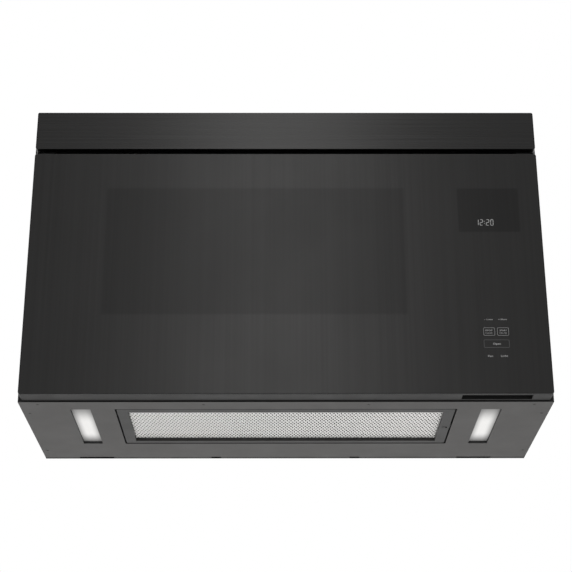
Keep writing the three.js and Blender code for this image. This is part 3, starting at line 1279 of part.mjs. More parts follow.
// The catch's pocket in the frame, open at the frame's end, and its nose's slot in the pan's rim.
function catchPocket() {
  const pocket = block(
    [CATCH_X - CATCH_BACK - SEAT, FILTER_X[1] + 3],
    about(CATCH_Y, CATCH_WIDTH + 2 * SEAT),
    grown(CATCH_Z, SEAT),
  );
  const knobSlot = block(
    [CATCH_X - CATCH_KNOB_R - SEAT, CATCH_X + CATCH_KNOB_R + CATCH_TRAVEL + SEAT],
    about(CATCH_Y, 2 * (CATCH_KNOB_R + SEAT)),
    [FILTER_FACE - 1, CATCH_Z[0] + 1],
  );
  return join(pocket, knobSlot);
}

function filterTabRanges() {
  return shrunk(FRAME_Y, TAB_INSET).map((y) => about(y, TAB_SIZE));
}

function makeFilter() {
  const outer = alongZ(rounded(FRAME_X, FRAME_Y, 3), [FILTER_FACE, FILTER_THICK], 3);
  const opening = block(MESH_X, MESH_Y, [FILTER_FACE - 1, FILTER_THICK + 1]);
  const tuck = MESH_TUCK + SEAT;
  const groove = block(grown(MESH_X, tuck), grown(MESH_Y, tuck), grown(MESH_Z, SEAT));
  const tabBottom = TAB_SLOT_Z[0] + SEAT;
  const tabs = filterTabRanges().map((y) =>
    block([FRAME_X[0] - TAB_OUT, FRAME_X[0] + 2], y, [tabBottom, tabBottom + TAB_SHEET]),
  );
  const frame = join(cut(outer, opening, groove, catchPocket()), ...tabs);
  piece("grease_filter_frame", frame, MATERIALS.greyPaint);

  const slideX = [CATCH_X - CATCH_BACK, FILTER_X[1] - CATCH_CLEAR];
  const slide = block(slideX, about(CATCH_Y, CATCH_WIDTH), CATCH_Z);
  const knob = rod(CATCH_KNOB_R, [FILTER_FACE - SEAT, CATCH_Z[0] + 1], 12);
  piece("filter_catch", join(slide, knob.translate([CATCH_X, CATCH_Y, 0])), MATERIALS.zincSteel);
}

// Expanded metal: staggered diamonds in a sheet whose flat border sits in the frame's groove.
function makeFilterMesh() {
  const sheet = rounded(grown(MESH_X, MESH_TUCK), grown(MESH_Y, MESH_TUCK), 1);
  const pitchX = (MESH_X[1] - MESH_X[0]) / MESH_COLUMNS;
  const pitchY = (MESH_Y[1] - MESH_Y[0]) / MESH_ROWS;
  const halfX = pitchX / 2 - MESH_STRAND;
  const halfY = (halfX * pitchY) / pitchX;
  for (const stagger of [0, 1]) {
    for (let column = 0; column < MESH_COLUMNS - stagger; column++) {
      for (let row = 0; row < MESH_ROWS - stagger; row++) {
        const x = MESH_X[0] + pitchX * (column + (1 + stagger) / 2);
        const y = MESH_Y[0] + pitchY * (row + (1 + stagger) / 2);
        sheet.holes.push(diamond(x, y, halfX, halfY));
      }
    }
  }
  piece("grease_filter_mesh", alongZ(sheet, MESH_Z, 1), MATERIALS.aluminium);
}

// ---------------------------------------------------------------- door

const DOOR_X = about(0, DOOR_WIDTH);
const DOOR_Z = [DOOR_BOTTOM, DOOR_TOP];
const PLATEAU_X = [CAVITY_LEFT - CHOKE_INNER, CAVITY_RIGHT + CHOKE_INNER];
const PLATEAU_Z = [LEDGE_Z - CHOKE_INNER, CAVITY_TOP + CHOKE_INNER];
const CHOKE_X = [CAVITY_LEFT - CHOKE_OUTER, CAVITY_RIGHT + CHOKE_OUTER];
const CHOKE_Z = [LEDGE_Z - CHOKE_OUTER, CAVITY_TOP + CHOKE_OUTER];
const PLATEAU_BACK = DOOR_BACK - COVER_THICK - SEAT;
const FLANGE_FRONT = DOOR_BACK - DOOR_WALL; // front of the door frame's back flange

function makeDoorGlass() {
  const shape = rounded(shrunk(DOOR_X, GLASS_BEVEL), shrunk(DOOR_Z, GLASS_BEVEL), DOOR_CORNER);
  const geometry = new THREE.ExtrudeGeometry(shape, {
    depth: GLASS_THICK - 2 * GLASS_BEVEL,
    bevelThickness: GLASS_BEVEL,
    bevelSize: GLASS_BEVEL,
    bevelSegments: 1,
    curveSegments: 4,
  });
  geometry.applyMatrix4(ALONG_Y).translate(0, GLASS_BACK - GLASS_BEVEL, 0);
  piece("door_glass", solid(geometry), MATERIALS.smokedGlass);
}

// Finger pocket moulded into the lower edge, as an outer or inner form.
function pullForm(margin) {
  const x = grown(about(PULL_X, PULL_WIDTH), margin);
  const y = grown([-PULL_BACK - PULL_DEPTH, -PULL_BACK], margin);
  const bottom = margin > 0 ? DOOR_BOTTOM : DOOR_BOTTOM - 1;
  const top = DOOR_BOTTOM + PULL_HEIGHT + margin;
  return alongY(arched(x, [bottom, top], PULL_CORNER + margin), y, 3);
}

const HINGE_SLOT_GAP = 2.5;
const BEARING_HEIGHT = 12;

function hingeBearings() {
  const x = [DOOR_X[0], HINGE_X + 7];
  const y = about(HINGE_Y, 14);
  const { lower, upper } = HINGE_PLATES;
  return [
    block(x, y, [lower[1] + SEAT, lower[1] + BEARING_HEIGHT]),
    block(x, y, [upper[0] - BEARING_HEIGHT, upper[0] - SEAT]),
  ];
}

function hingeCuts() {
  const x = [DOOR_X[0] - 1, HINGE_X + HINGE_ARM / 2 + HINGE_SLOT_GAP];
  const y = [HINGE_Y - HINGE_ARM / 2 - HINGE_SLOT_GAP, 1];
  const slots = Object.values(HINGE_PLATES).map((z) => block(x, y, grown(z, SEAT)));
  const { lower, upper } = HINGE_PLATES;
  const boreLength = PIN_LENGTH + 1;
  const bores = [
    [lower[1], lower[1] + boreLength],
    [upper[0] - boreLength, upper[0]],
  ].map((z) => rod(PIN_R + PIN_CLEARANCE, z, 16).translate([HINGE_X, HINGE_Y, 0]));
  return [...slots, ...bores];
}

const SPRING_X = LATCH_X + SPRING_INSET;
const SPRING_Y = FLANGE_FRONT - SPRING_FRONT;
const SPRING_Z = (LATCH_LOW + LATCH_HIGH) / 2;

function makeDoorFrame() {
  const outer = alongY(rounded(DOOR_X, DOOR_Z, DOOR_CORNER), [FRAME_FRONT, DOOR_BACK], 4);
  const insideX = shrunk(DOOR_X, DOOR_WALL);
  const hollow = block(insideX, [FRAME_FRONT - 1, FLANGE_FRONT], shrunk(DOOR_Z, DOOR_WALL));
  const flangeY = [FLANGE_FRONT - 1, DOOR_BACK + 1];
  const window = block(grown(CHOKE_X, SEAT), flangeY, grown(CHOKE_Z, SEAT));
  const slots = [LATCH_LOW, LATCH_HIGH].map((z) => hookSlot(z, flangeY));
  const postZ = SPRING_Z - SPRING_LENGTH / 2 - SPRING_WIRE - SPRING_POST_R;
  const postY = [SPRING_Y - 3, FLANGE_FRONT + 1];
  const post = alongY(circle(SPRING_POST_R, SPRING_X, postZ), postY, 5);
  // Ribs that stiffen the side with the controls.
  const ribX = [LATCH_X + SPRING_INSET - 2, insideX[1] + 1];
  const ribY = [FRAME_FRONT + DISPLAY_DEPTH + 2, FLANGE_FRONT + 1];
  const ribs = RIB_OFFSETS.map((z) => block(ribX, ribY, about(SPRING_Z + z, RIB_THICK)));
  const pull = pullForm(PULL_WALL);
  const shell = join(cut(outer, hollow, window), ...hingeBearings(), pull, post, ...ribs);
  const frame = cut(shell, pullForm(0), ...slots, ...hingeCuts());
  piece("door_frame", frame, MATERIALS.darkFrame);
}

// A flat ring between two rectangles.
function flatRing(outX, outZ, inX, inZ, y) {
  return cut(block(outX, y, outZ), block(inX, grown(y, 1), inZ));
}

// The steel panel: a plateau that closes the cavity, a channel round it and a slit comb.
function makeChoke() {
  const floor = PLATEAU_BACK - CHOKE_DEPTH;
  const combTop = PLATEAU_BACK - COMB_SHORT;
  const innerX = shrunk(PLATEAU_X, SHEET);
  const innerZ = shrunk(PLATEAU_Z, SHEET);
  const plateau = block(PLATEAU_X, [PLATEAU_BACK - SHEET, PLATEAU_BACK], PLATEAU_Z);
  const wall = flatRing(PLATEAU_X, PLATEAU_Z, innerX, innerZ, [floor, PLATEAU_BACK]);
  const channel = flatRing(CHOKE_X, CHOKE_Z, innerX, innerZ, [floor, floor + SHEET]);
  const comb = flatRing(
    CHOKE_X,
    CHOKE_Z,
    shrunk(CHOKE_X, SHEET),
    shrunk(CHOKE_Z, SHEET),
    [floor, combTop],
  );
  const slitY = [floor + COMB_ROOT, combTop + 1];
  const slits = [
    ...combSlits(CHOKE_X, (x) => [x, slitY, grown(CHOKE_Z, 1)]),
    ...combSlits(CHOKE_Z, (z) => [grown(CHOKE_X, 1), slitY, z]),
  ].map(([x, y, z]) => block(x, y, z));
  const kept = block(PLATEAU_X, grown(slitY, 1), PLATEAU_Z);
  const toothed = cut(comb, ...slits.map((slit) => cut(slit, kept)));
  piece("door_choke", join(plateau, wall, channel, toothed), MATERIALS.cavityPaint);
}

function combSlits([low, high], placed) {
  const count = Math.floor((high - low - COMB_PITCH / 2) / COMB_PITCH);
  const first = (low + high) / 2 - ((count - 1) / 2) * COMB_PITCH;
  return repeat(count, (i) => placed(about(first + i * COMB_PITCH, COMB_SLIT)));
}

function makeDoorInside() {
  const y = [DOOR_BACK - COVER_THICK, DOOR_BACK];
  const openX = shrunk(PLATEAU_X, COVER_LAP);
  const openZ = shrunk(PLATEAU_Z, COVER_LAP);
  piece("choke_cover", flatRing(CHOKE_X, CHOKE_Z, openX, openZ, y), MATERIALS.blackPlastic);

  const paneX = shrunk([CAVITY_LEFT, CAVITY_RIGHT], WINDOW_MARGIN_X);
  const paneZ = shrunk([CAVITY_FLOOR, CAVITY_TOP], WINDOW_MARGIN_Z);
  const pane = alongY(rounded(paneX, paneZ, WINDOW_CORNER), y, 3);
  piece("door_window", pane, MATERIALS.smokedGlass);
}

function makeDisplay() {
  const x = about(DISPLAY_X, DISPLAY_WIDTH);
  const z = about(DISPLAY_Z, DISPLAY_HEIGHT);
  const y = [FRAME_FRONT, FRAME_FRONT + DISPLAY_DEPTH];
  const screenBack = y[0] + DISPLAY_SCREEN;
  const body = block(x, y, z);
  const pocket = block(shrunk(x, DISPLAY_WALL), [screenBack, y[1] + 1], shrunk(z, DISPLAY_WALL));
  const chip = block(
    about(DISPLAY_X, DISPLAY_CHIP_WIDTH),
    [screenBack - 1, screenBack + DISPLAY_CHIP_THICK],
    about(DISPLAY_Z, DISPLAY_CHIP_HEIGHT),
  );
  piece("display_module", join(cut(body, pocket), chip), MATERIALS.blackPlastic);

  const front = FRAME_FRONT;
  const boardX = about(KEYS_X, KEYS_WIDTH);
  const board = block(boardX, [front, front + BOARD_THICK], about(KEYS_Z, KEYS_HEIGHT));
  const chips = [[-14, 22, 14], [10, 8, 12], [-8, -26, 10]].map(([dx, dz, size]) =>
    block(about(KEYS_X + dx, size), [front + 1, front + 4.5], about(KEYS_Z + dz, size)),
  );
  piece("touch_board", join(board, ...chips), MATERIALS.board);
}

// ---------------------------------------------------------------- hinges and latch

function makeHinge(name, z, direction) {
  const x = about(HINGE_X, HINGE_ARM);
  const arm = new THREE.Shape();
  arm.moveTo(x[0], LINER_FRONT + 1);
  arm.lineTo(x[0], HINGE_Y);
  arm.absarc(HINGE_X, HINGE_Y, HINGE_ARM / 2, Math.PI, 2 * Math.PI);
  arm.lineTo(x[1], LINER_FRONT + 1);
  arm.closePath();
  const leafZ = direction > 0 ? [z[0], z[0] + HINGE_LEAF] : [z[1] - HINGE_LEAF, z[1]];
  const leaf = block([x[0], x[0] + HINGE_LEAF_WIDTH], [LINER_FRONT, LINER_FRONT + HINGE_SHEET], leafZ);
  const pinZ = direction > 0 ? [z[0] + 1, z[1] + PIN_LENGTH] : [z[0] - PIN_LENGTH, z[1] - 1];
  const pin = rod(PIN_R, pinZ, 16).translate([HINGE_X, HINGE_Y, 0]);
  piece(name, join(alongZ(arm, z, 6), leaf, pin), MATERIALS.zincSteel);
}

// Two hooks on one upright bar inside the door. At rest they are lifted just clear of the sills.
function makeLatchHooks() {
  const x = about(LATCH_X, HOOK_THICK);
  const barY = [FLANGE_FRONT - SEAT - 10, FLANGE_FRONT - SEAT];
  const bar = block(x, barY, [LATCH_LOW, LATCH_HIGH + HOOK_HEIGHT]);
  const hooks = [LATCH_LOW, LATCH_HIGH].map((z) => {
    const outline = polygon([
      [barY[0], z],
      [HOOK_REACH - HOOK_BARB, z],
      [HOOK_REACH - HOOK_BARB, z - HOOK_DROP],
      [HOOK_REACH - 2, z - HOOK_DROP],
      [HOOK_REACH, z],
      [HOOK_REACH, z + HOOK_HEIGHT],
      [barY[0], z + HOOK_HEIGHT],
    ]);
    return alongX(outline, x);
  });
  const earZ = SPRING_Z + SPRING_LENGTH / 2 + SPRING_WIRE + SEAT;
  const ear = block([LATCH_X, SPRING_X + 4], about(SPRING_Y, 6), [earZ, earZ + 2.5]);
  piece("latch_hooks", join(bar, ...hooks, ear), MATERIALS.whitePlastic);
}

class Helix extends THREE.Curve {
  getPoint(share, target = new THREE.Vector3()) {
    const angle = share * SPRING_TURNS * 2 * Math.PI;
    const height = (share - 0.5) * SPRING_LENGTH;
    return target.set(SPRING_R * Math.cos(angle), SPRING_R * Math.sin(angle), height);
  }
}

function makeLatchSpring() {
  const geometry = new THREE.ExtrudeGeometry(circle(SPRING_WIRE), {
    steps: SPRING_TURNS * 7,
    extrudePath: new Helix(),
    curveSegments: 2,
  });
  const spring = solid(geometry).translate([SPRING_X, SPRING_Y, SPRING_Z]);
  piece("latch_spring", spring, MATERIALS.zincSteel);
}

const BARB_Y = HOOK_REACH - HOOK_BARB / 2;
const CHAMBER_X = about(LATCH_X, 2 * SWITCH_WIDTH + 3 * SEAT);

// One chamber of the latch board: a box with a sill that the barb drops behind.
function latchChamber(base) {
  const y = [LINER_FRONT, LINER_FRONT + BOARD_DEPTH];
  const z = [base - CHAMBER_BELOW, base + CHAMBER_ABOVE];
  const hollow = block(CHAMBER_X, grown(y, 1), shrunk(z, CHAMBER_WALL));
  const sillY = [LINER_FRONT, HOOK_REACH - HOOK_BARB - SEAT];
  const sillTop = base - HOOK_DROP - SEAT;
  const sill = block(grown(CHAMBER_X, 1), sillY, [z[0] + 1, sillTop]);
  return join(cut(block(grown(CHAMBER_X, CHAMBER_WALL), y, z), hollow), sill);
}

function makeLatchBoard() {
  const chambers = [LATCH_LOW, LATCH_HIGH].map(latchChamber);
  const spineZ = [LATCH_LOW + CHAMBER_ABOVE - 1, LATCH_HIGH - CHAMBER_BELOW + 1];
  const spineX = grown(CHAMBER_X, CHAMBER_WALL);
  const web = block(spineX, [LINER_FRONT, LINER_FRONT + 2], spineZ);
  const ribs = spineX.map((x, i) =>
    block(i ? [x - CHAMBER_WALL, x] : [x, x + CHAMBER_WALL], [LINER_FRONT, LINER_FRONT + 12], spineZ),
  );
  const plungerHole = rod(PLUNGER_R + SEAT, about(LATCH_LOW - CHAMBER_BELOW, 6), 12);
  const board = cut(
    join(...chambers, web, ...ribs),
    plungerHole.translate([LATCH_X, BARB_Y, 0]),
  );
  piece("latch_board", board, MATERIALS.whitePlastic);
}

const SWITCH_FRONT = HOOK_REACH + SEAT + BUTTON_TRAVEL + 1.7;
const BUTTON_HEIGHT = 4;

// A snap switch in its chamber, on the left or the right of the hook.
function makeSwitch(name, base, side) {
  const x = about(LATCH_X + (side * (SWITCH_WIDTH + SEAT)) / 2, SWITCH_WIDTH);
  const y = [SWITCH_FRONT, SWITCH_FRONT + SWITCH_DEPTH];
  const bottom = base - CHAMBER_BELOW + CHAMBER_WALL + SEAT;
  const body = block(x, y, [bottom, bottom + SWITCH_HEIGHT]);
  const pocket = block(
    grown(about(LATCH_X, BUTTON_WIDTH), SEAT),
    [y[0] - 1, y[0] + BUTTON_DEPTH],
    grown(about(base + BUTTON_RISE, BUTTON_HEIGHT), SEAT),
  );
  const terminals = [6, 20].map((rise) =>
    block(about((x[0] + x[1]) / 2, 0.8), [y[1] - 1, y[1] + 8], about(bottom + rise, 5)),
  );
  piece(name, join(cut(body, pocket), ...terminals), MATERIALS.blackPlastic);
}

// The button that the hook's nose presses. The lower one serves two switches side by side.
function makeButton(name, base) {
  const back = SWITCH_FRONT + BUTTON_DEPTH - BUTTON_TRAVEL - SEAT;
  const y = [HOOK_REACH + SEAT, back];
  const button = block(about(LATCH_X, BUTTON_WIDTH), y, about(base + BUTTON_RISE, BUTTON_HEIGHT));
  piece(name, button, MATERIALS.whitePlastic);
}

// The door release: a solenoid under the lower chamber lifts the hook with its plunger.
function makeRelease() {
  const place = group(LATCH_X, BARB_Y, LATCH_LOW - CHAMBER_BELOW - SEAT);
  const z = [-SOLENOID_HEIGHT, 0];
  const x = about(0, SOLENOID_WIDTH);
  const y = about(0, SOLENOID_DEPTH);
  const inside = block(shrunk(x, SOLENOID_SHEET), grown(y, 1), shrunk(z, SOLENOID_SHEET));
  const coil = rod(COIL_R, shrunk(z, 1), 16);
  const bore = rod(PLUNGER_R + SEAT, grown(z, 1), 12);
  const solenoid = cut(join(cut(block(x, y, z), inside), coil), bore);
  piece("release_solenoid", solenoid, MATERIALS.copper, place);

  const top = CHAMBER_BELOW - HOOK_DROP - LATCH_DROP;
  const bottom = z[0] - PLUNGER_OUT;
  const cap = rod(PLUNGER_R + 3, [bottom, bottom + 0.8], 12);
  const plunger = join(rod(PLUNGER_R, [bottom, top], 12), cap);
  piece("release_plunger", plunger, MATERIALS.zincSteel, place);
}

// ---------------------------------------------------------------- the whole oven

makeBasePan();
makeWrap();
makeTopRail();
makeCordBushing();
makeRearPanel();
makeWallPlate();
makeFrontFrame();
makeVentGrille();
makeTopTrim();
makeCavity();
makeCavityLamp();
makeWaveguide();
makeStirrer();
makeMagnetron();
makeCoolingFan();
makeInverterTray();
makeInverterBoard();
makeHeatsink();
makeTransformer();
makePowerBoard();
makeAirDeck();
[-1, 1].forEach(makeScroll);
[-1, 1].forEach(makeWheel);
makeBlowerMotor();
makeExhaust();
makeLight("left");
makeLight("right");
makeFilter();
makeFilterMesh();
makeDoorGlass();
makeDoorFrame();
makeChoke();
makeDoorInside();
makeDisplay();
makeHinge("hinge_plate_lower", HINGE_PLATES.lower, 1);
makeHinge("hinge_plate_upper", HINGE_PLATES.upper, -1);
makeLatchHooks();
makeLatchSpring();
makeLatchBoard();
makeSwitch("interlock_switch_upper", LATCH_HIGH, -1);
makeSwitch("interlock_switch_lower", LATCH_LOW, -1);
makeSwitch("monitor_switch", LATCH_LOW, 1);
makeButton("interlock_button_upper", LATCH_HIGH);
makeButton("interlock_button_lower", LATCH_LOW);
makeRelease();

oven.position.set(0, -BODY_DEPTH, -WALL_PLATE_MIDDLE);
oven.updateMatrixWorld(true);

export default oven;
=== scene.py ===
"""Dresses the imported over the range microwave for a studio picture.

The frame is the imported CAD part, in metres: x to the right, y towards the wall (y = 0) and z up.
The camera stands low in front and looks up at the trim, the door and the underside.
"""

import json
import math

import bmesh
import bpy
from mathutils import Matrix, Vector

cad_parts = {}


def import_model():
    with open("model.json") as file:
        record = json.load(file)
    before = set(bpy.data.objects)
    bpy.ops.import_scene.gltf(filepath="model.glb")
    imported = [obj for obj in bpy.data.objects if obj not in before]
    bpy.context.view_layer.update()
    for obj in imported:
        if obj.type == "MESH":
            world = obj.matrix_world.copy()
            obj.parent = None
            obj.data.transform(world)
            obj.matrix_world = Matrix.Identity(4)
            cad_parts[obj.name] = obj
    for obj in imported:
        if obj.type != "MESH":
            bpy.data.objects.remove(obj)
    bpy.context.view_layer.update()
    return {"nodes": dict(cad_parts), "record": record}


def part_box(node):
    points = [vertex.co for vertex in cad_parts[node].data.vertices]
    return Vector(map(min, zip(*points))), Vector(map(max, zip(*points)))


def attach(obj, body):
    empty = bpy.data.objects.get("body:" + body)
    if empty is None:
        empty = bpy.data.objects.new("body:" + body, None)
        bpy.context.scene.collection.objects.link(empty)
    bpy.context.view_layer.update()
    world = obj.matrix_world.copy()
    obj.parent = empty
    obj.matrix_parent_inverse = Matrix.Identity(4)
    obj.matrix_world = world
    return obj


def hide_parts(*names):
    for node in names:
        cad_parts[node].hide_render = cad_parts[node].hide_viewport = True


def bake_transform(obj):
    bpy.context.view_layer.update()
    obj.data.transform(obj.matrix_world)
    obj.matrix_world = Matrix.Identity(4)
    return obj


MM = 0.001
WHITE = (1.0, 1.0, 1.0, 1.0)

# Camera, fitted to the photograph.
IMAGE_PIXELS = 572
FOCAL_PIXELS = 1471.92
SENSOR = 36.0
CAMERA_PLACE = Vector((-0.01091, -2.25879, -0.89101))
CAMERA_YAW = math.radians(0.3218)
CAMERA_PITCH = math.radians(23.1319)
CAMERA_ROLL = math.radians(-0.1475)

# Floor and world; a glow or a level of 1 is white.
FLOOR_Z = -1.35
FLOOR_RADIUS = 7.0
FLOOR_SIDES = 96
FLOOR_GLOW = 0.68
WORLD_LEVEL = 0.25

# Softboxes, as (place, target, width and height, watts).
PART_MIDDLE = (0.0, -0.3, 0.0)
UNDERSIDE_MIDDLE = (0.0, -0.14, 0.0)
SOFTBOXES = {
    "key": ((-0.02, -2.3, 0.66), PART_MIDDLE, (0.5, 2.1), 11.0),
    "top": ((0.0, 0.2, 2.4), PART_MIDDLE, (2.5, 2.5), 26.0),
    "left": ((-2.8, -0.1, 0.6), PART_MIDDLE, (1.6, 2.0), 24.0),
    "right": ((2.8, -0.1, 0.6), PART_MIDDLE, (1.6, 2.0), 24.0),
    "back": ((0.0, 2.8, 0.8), PART_MIDDLE, (2.0, 2.0), 24.0),
    "bounce": ((0.0, -0.06, FLOOR_Z + 0.02), UNDERSIDE_MIDDLE, (1.6, 1.2), 5.2),
}

# Greys, as (display level from 0 for black to 255 for white, warmth), and linear colours.
GREYS = {
    "door": (39, 0.01),
    "trim": (42, 0.01),
    "cabinet": (62, 0.01),
    # Painted shade on the cabinet's and the front frame's faces behind the air slot.
    "cabinet_shade_behind_slot": (6, 0.0),
    "frame_shade_behind_slot": (118, 0.0),
    "underside": (87, 0.025),
    # Painted shade on the underside at its rear bend, front edge and filter seam, and on its
    # recesses' standing walls.
    "underside_bend_shade": (48, 0.025),
    "underside_front_edge_shade": (22, 0.0),
    "filter_seam_shade": (40, 0.02),
    "recess_wall_shade": (60, 0.0),
    "filter_opening_wall_shade": (24, 0.0),
    "tab_slot_wall_shade": (14, 0.0),
    "moulding": (38, 0.02),
    # Painted shade inside the finger pull.
    "finger_pull_shade": (36, 0.0),
    "filter_rim": (49, 0.02),
    # Painted shade on the filter rim's rolled edge and standing faces.
    "filter_rolled_edge_shade": (26, 0.02),
    "filter_standing_face_shade": (46, 0.02),
    "strand": (248, 0.02),
    # A painted glint on the strands.
    "strand_glint": (250, 0.02),
    "light_lens": (106, 0.01),
    "enamel": (150, 0.015),
    "punched_hole": (14, 0.0),
    "window_screen": (58, 0.0),
    "screen_hole": (8, 0.0),
    "zinc": (168, 0.0),
    # Painted shade on the wall plate's tab ends.
    "tab_end_shade": (10, 0.0),
    # Painted shade: the hem, nearly black where it shows in the slots.
    "hem": (13, 0.0),
    "black_plastic": (30, 0.0),
    "white_plastic": (218, 0.02),
    "ceramic": (60, 0.0),
    "milled_aluminium": (200, 0.0),
    "plain_lens": (200, 0.0),
    "charcoal": (26, 0.0),
    "pale_print": (170, 0.0),
    "faint_print": (51, 0.0),
    "floor": (232, 0.0),
}
BOARD_GREEN = [0.02, 0.09, 0.035, 1.0]
COPPER = [0.62, 0.27, 0.13, 1.0]
LENS_LIGHT = (1.0, 0.99, 0.97, 1.0)

# Edges: their radius, the cosines of the turned normal where wear begins and where it is full,
# the shade of a rubbed edge, and the painted shade on a side that rolls over.
EDGE_RADIUS = 0.5 * MM
WEAR_COSINES = (0.985, 0.8)
RUBBED_SHADE = 2.2
ROLLED_PAINTED_SHADE = 0.4

# Surfaces in general: the blur of a crisp border, fine grain, how far the gloss varies, and the
# z of a normal that looks down and of one that no longer does.
CRISP = 0.2 * MM
SPECK = 0.7 * MM
GRAIN_DEPTH = 0.3 * MM
GLOSS_SPREAD = (0.9, 1.12)
DOWNWARD = (-0.8, -0.4)

# Door and trim; the size of a noise spot runs along x, y and z.
DOOR_STREAKS = (3 * MM, 500 * MM, 600 * MM)
DOOR_SMUDGE = 90 * MM
DOOR_RIPPLE = (30 * MM, 30 * MM, 250 * MM)
DOOR_ROUGHNESS = (0.29, 0.32)
DOOR_EDGE_RADIUS = 1.2 * MM
TRIM_BRUSHING = (300 * MM, 1.1 * MM, 1.1 * MM)
TRIM_ROUGHNESS = (0.25, 0.29)
TRIM_EDGE_RADIUS = 1.0 * MM
# How far in from the door's and the trim's sides their painted shade begins.
SIDE_ROLL = 1.8 * MM

# Darker areas of the door's sheet, from the part's middle: (x, z, blur, share of the door's tone).
WINDOW = ((-264 * MM, 174.5 * MM), (-102 * MM, 99 * MM), 2.5 * MM, 0.83)
DISPLAY = ((253.3 * MM, 343.5 * MM), (27.8 * MM, 98.6 * MM), 1.5 * MM, 0.76)

# The finger pull in the door's moulding, which gets painted shade, and the painted shade on the
# face
# behind the air slot: how deep it goes into the cabinet and how far over the door it starts.
FINGER_PULL = {
    "X": (247 * MM, 349 * MM),
    "Y": (-304.5 * MM, -284 * MM),
    "Z": (-221.5 * MM, -198 * MM),
}
SLOT_FACE_DEPTH = 0.8 * MM
SLOT_CLEARANCE = 0.5 * MM

# Clock; a digit's width and height run between the middles of its strokes, and its segments run
# from one point to another, as shares of them.
DIGIT_WIDTH = 3.7 * MM
DIGIT_HEIGHT = 9.1 * MM
DIGIT_STROKE = 1.15 * MM
DIGIT_PITCH = 6.3 * MM
DIGIT_SLANT = 0.03
COLON_WIDTH = 2.8 * MM
COLON_LEVELS = (0.3, 0.7)
CLOCK_LEFT = 278.8 * MM
CLOCK_BOTTOM = 38.4 * MM
CLOCK_TIME = "12:20"
PRINT_DEPTH = 0.05 * MM
SEGMENTS = {
    "top": ((0, 1), (1, 1)),
    "upper_right": ((1, 0.5), (1, 1)),
    "lower_right": ((1, 0), (1, 0.5)),
    "bottom": ((0, 0), (1, 0)),
    "lower_left": ((0, 0), (0, 0.5)),
    "upper_left": ((0, 0.5), (0, 1)),
    "middle": ((0, 0.5), (1, 0.5)),
}
DIGITS = {
    "0": ("top", "upper_right", "lower_right", "bottom", "lower_left", "upper_left"),
    "1": ("upper_right", "lower_right"),
    "2": ("top", "upper_right", "middle", "lower_left", "bottom"),
}

# Keys, as (left, right, bottom, top), and words, as (middle x, middle z, width, height, weight),
# in millimetres; a weight widens a letter's strokes by that share of its size.
KEY_RADIUS = 1.8 * MM
KEY_LINE = 0.5 * MM
CORNER_STEPS = 4
LETTER_HALF_DEPTH = 0.5
LETTER_MERGE = 1e-5
PLAIN, BOLD = 0.0, 0.03
SMALL_KEYS = [(280.6, 297.0, -135.0, -122.9), (300.3, 316.8, -135.0, -122.9)]
WIDE_KEY = (280.1, 316.9, -153.6, -141.1)
WORDS = {
    "- Less": (288.9, -110.3, 12.4, 2.2, BOLD),
    "+ More": (308.9, -110.3, 12.4, 2.2, BOLD),
    "STOP": (288.4, -127.2, 10.2, 2.3, BOLD),
    "CLEAR": (288.4, -131.2, 10.4, 2.1, PLAIN),
    "START": (309.0, -127.2, 10.5, 2.3, BOLD),
    "PAUSE": (308.8, -131.2, 10.5, 2.1, PLAIN),
    "Open": (298.8, -147.9, 11.2, 3.7, BOLD),
    "Fan": (288.6, -166.0, 7.0, 2.8, BOLD),
    "Light": (308.4, -166.4, 9.9, 3.7, BOLD),
}

# Light lenses: how far from each rim the glow is full and what share of it is left at the rim,
# its full strength, and the size of the frost's spots.
LENS_SIDE_FADE = (14 * MM, 0.25)
LENS_FRONT_FADE = (76 * MM, 0.08)
LENS_REAR_FADE = (46 * MM, 0.1)
LENS_GLOW = (0.67, 0.74)
LENS_FROST = 1.2 * MM

# Filter mesh, and the two bands where a glint is painted on its strands.
DIAMOND_LENGTH = 13.5 * MM
DIAMOND_WIDTH = 5.42 * MM
STRAND_WIDTH = 2.0 * MM
STRAND_THICKNESS = 0.35 * MM
STRAND_OVERLAP = 0.1
WEAVE_LAYERS = 2
GLINTS_X = (-130 * MM, 175 * MM)
GLINT_HALF = 30 * MM
GLINT_FADE = 55 * MM
GLINT_SHARE = 0.7

# Zinc: the size, shades and gloss of its crystals, its rubbed edges, and where painted shade
# darkens the tabs' ends.
CRYSTAL_SIZE = 9 * MM
CRYSTAL_SHADES = (0.9, 1.07)
CRYSTAL_ROUGHNESS = (0.32, 0.46)
ZINC_WEAR = 0.3
ZINC_RUBBED_SHADE = 1.6
TABS_Z = (-230 * MM, -209 * MM)

# Holes of the window's screen and of the two patches in the cavity's walls; the blur of their
# rims is a share of the grid's side.
SCREEN_PITCH = 2.4 * MM
SCREEN_HOLE = 0.85 * MM
PUNCH_PITCH = 4.2 * MM
PUNCH_HOLE = 1.3 * MM
PUNCH_REACH = 4 * MM
HOLE_BLUR = 0.06
STEAM_Y = (-120 * MM, -62 * MM)
STEAM_Z = (30 * MM, 92 * MM)

# Underside paint: how wide the painted shade at its edge, bend and seam is, and where the recesses
# whose walls get painted shade lie.
FRONT_EDGE = 0.4 * MM
REAR_BEND = 8.5 * MM
SEAM_SIDE = 2.2 * MM
SEAM_FRONT = 3.0 * MM
SEAM_REAR = 3.2 * MM
SIDE_WALL = 6 * MM
FRONT_WALL = 4 * MM
TAB_SLOTS_Y = (-14 * MM, -0.5 * MM)
FILTER_OPENING_X = (-262 * MM, 262 * MM)

# Filter rim: the flat part of its face, from the frame's sides and front; painted shade lies
# outside it.
RIM_SIDE_ROLL = 0.6 * MM
RIM_FRONT_ROLL = 2.4 * MM
RIM_BLUR = 0.4 * MM

# Pan hem; its heights and inset run from the pan's box.
HEM_HEIGHTS = (0.6 * MM, 3.7 * MM)
HEM_INSET = 2 * MM
HEM_Y = -0.9 * MM
HEM_THICKNESS = 0.8 * MM
HEM_BEVEL = 0.15 * MM

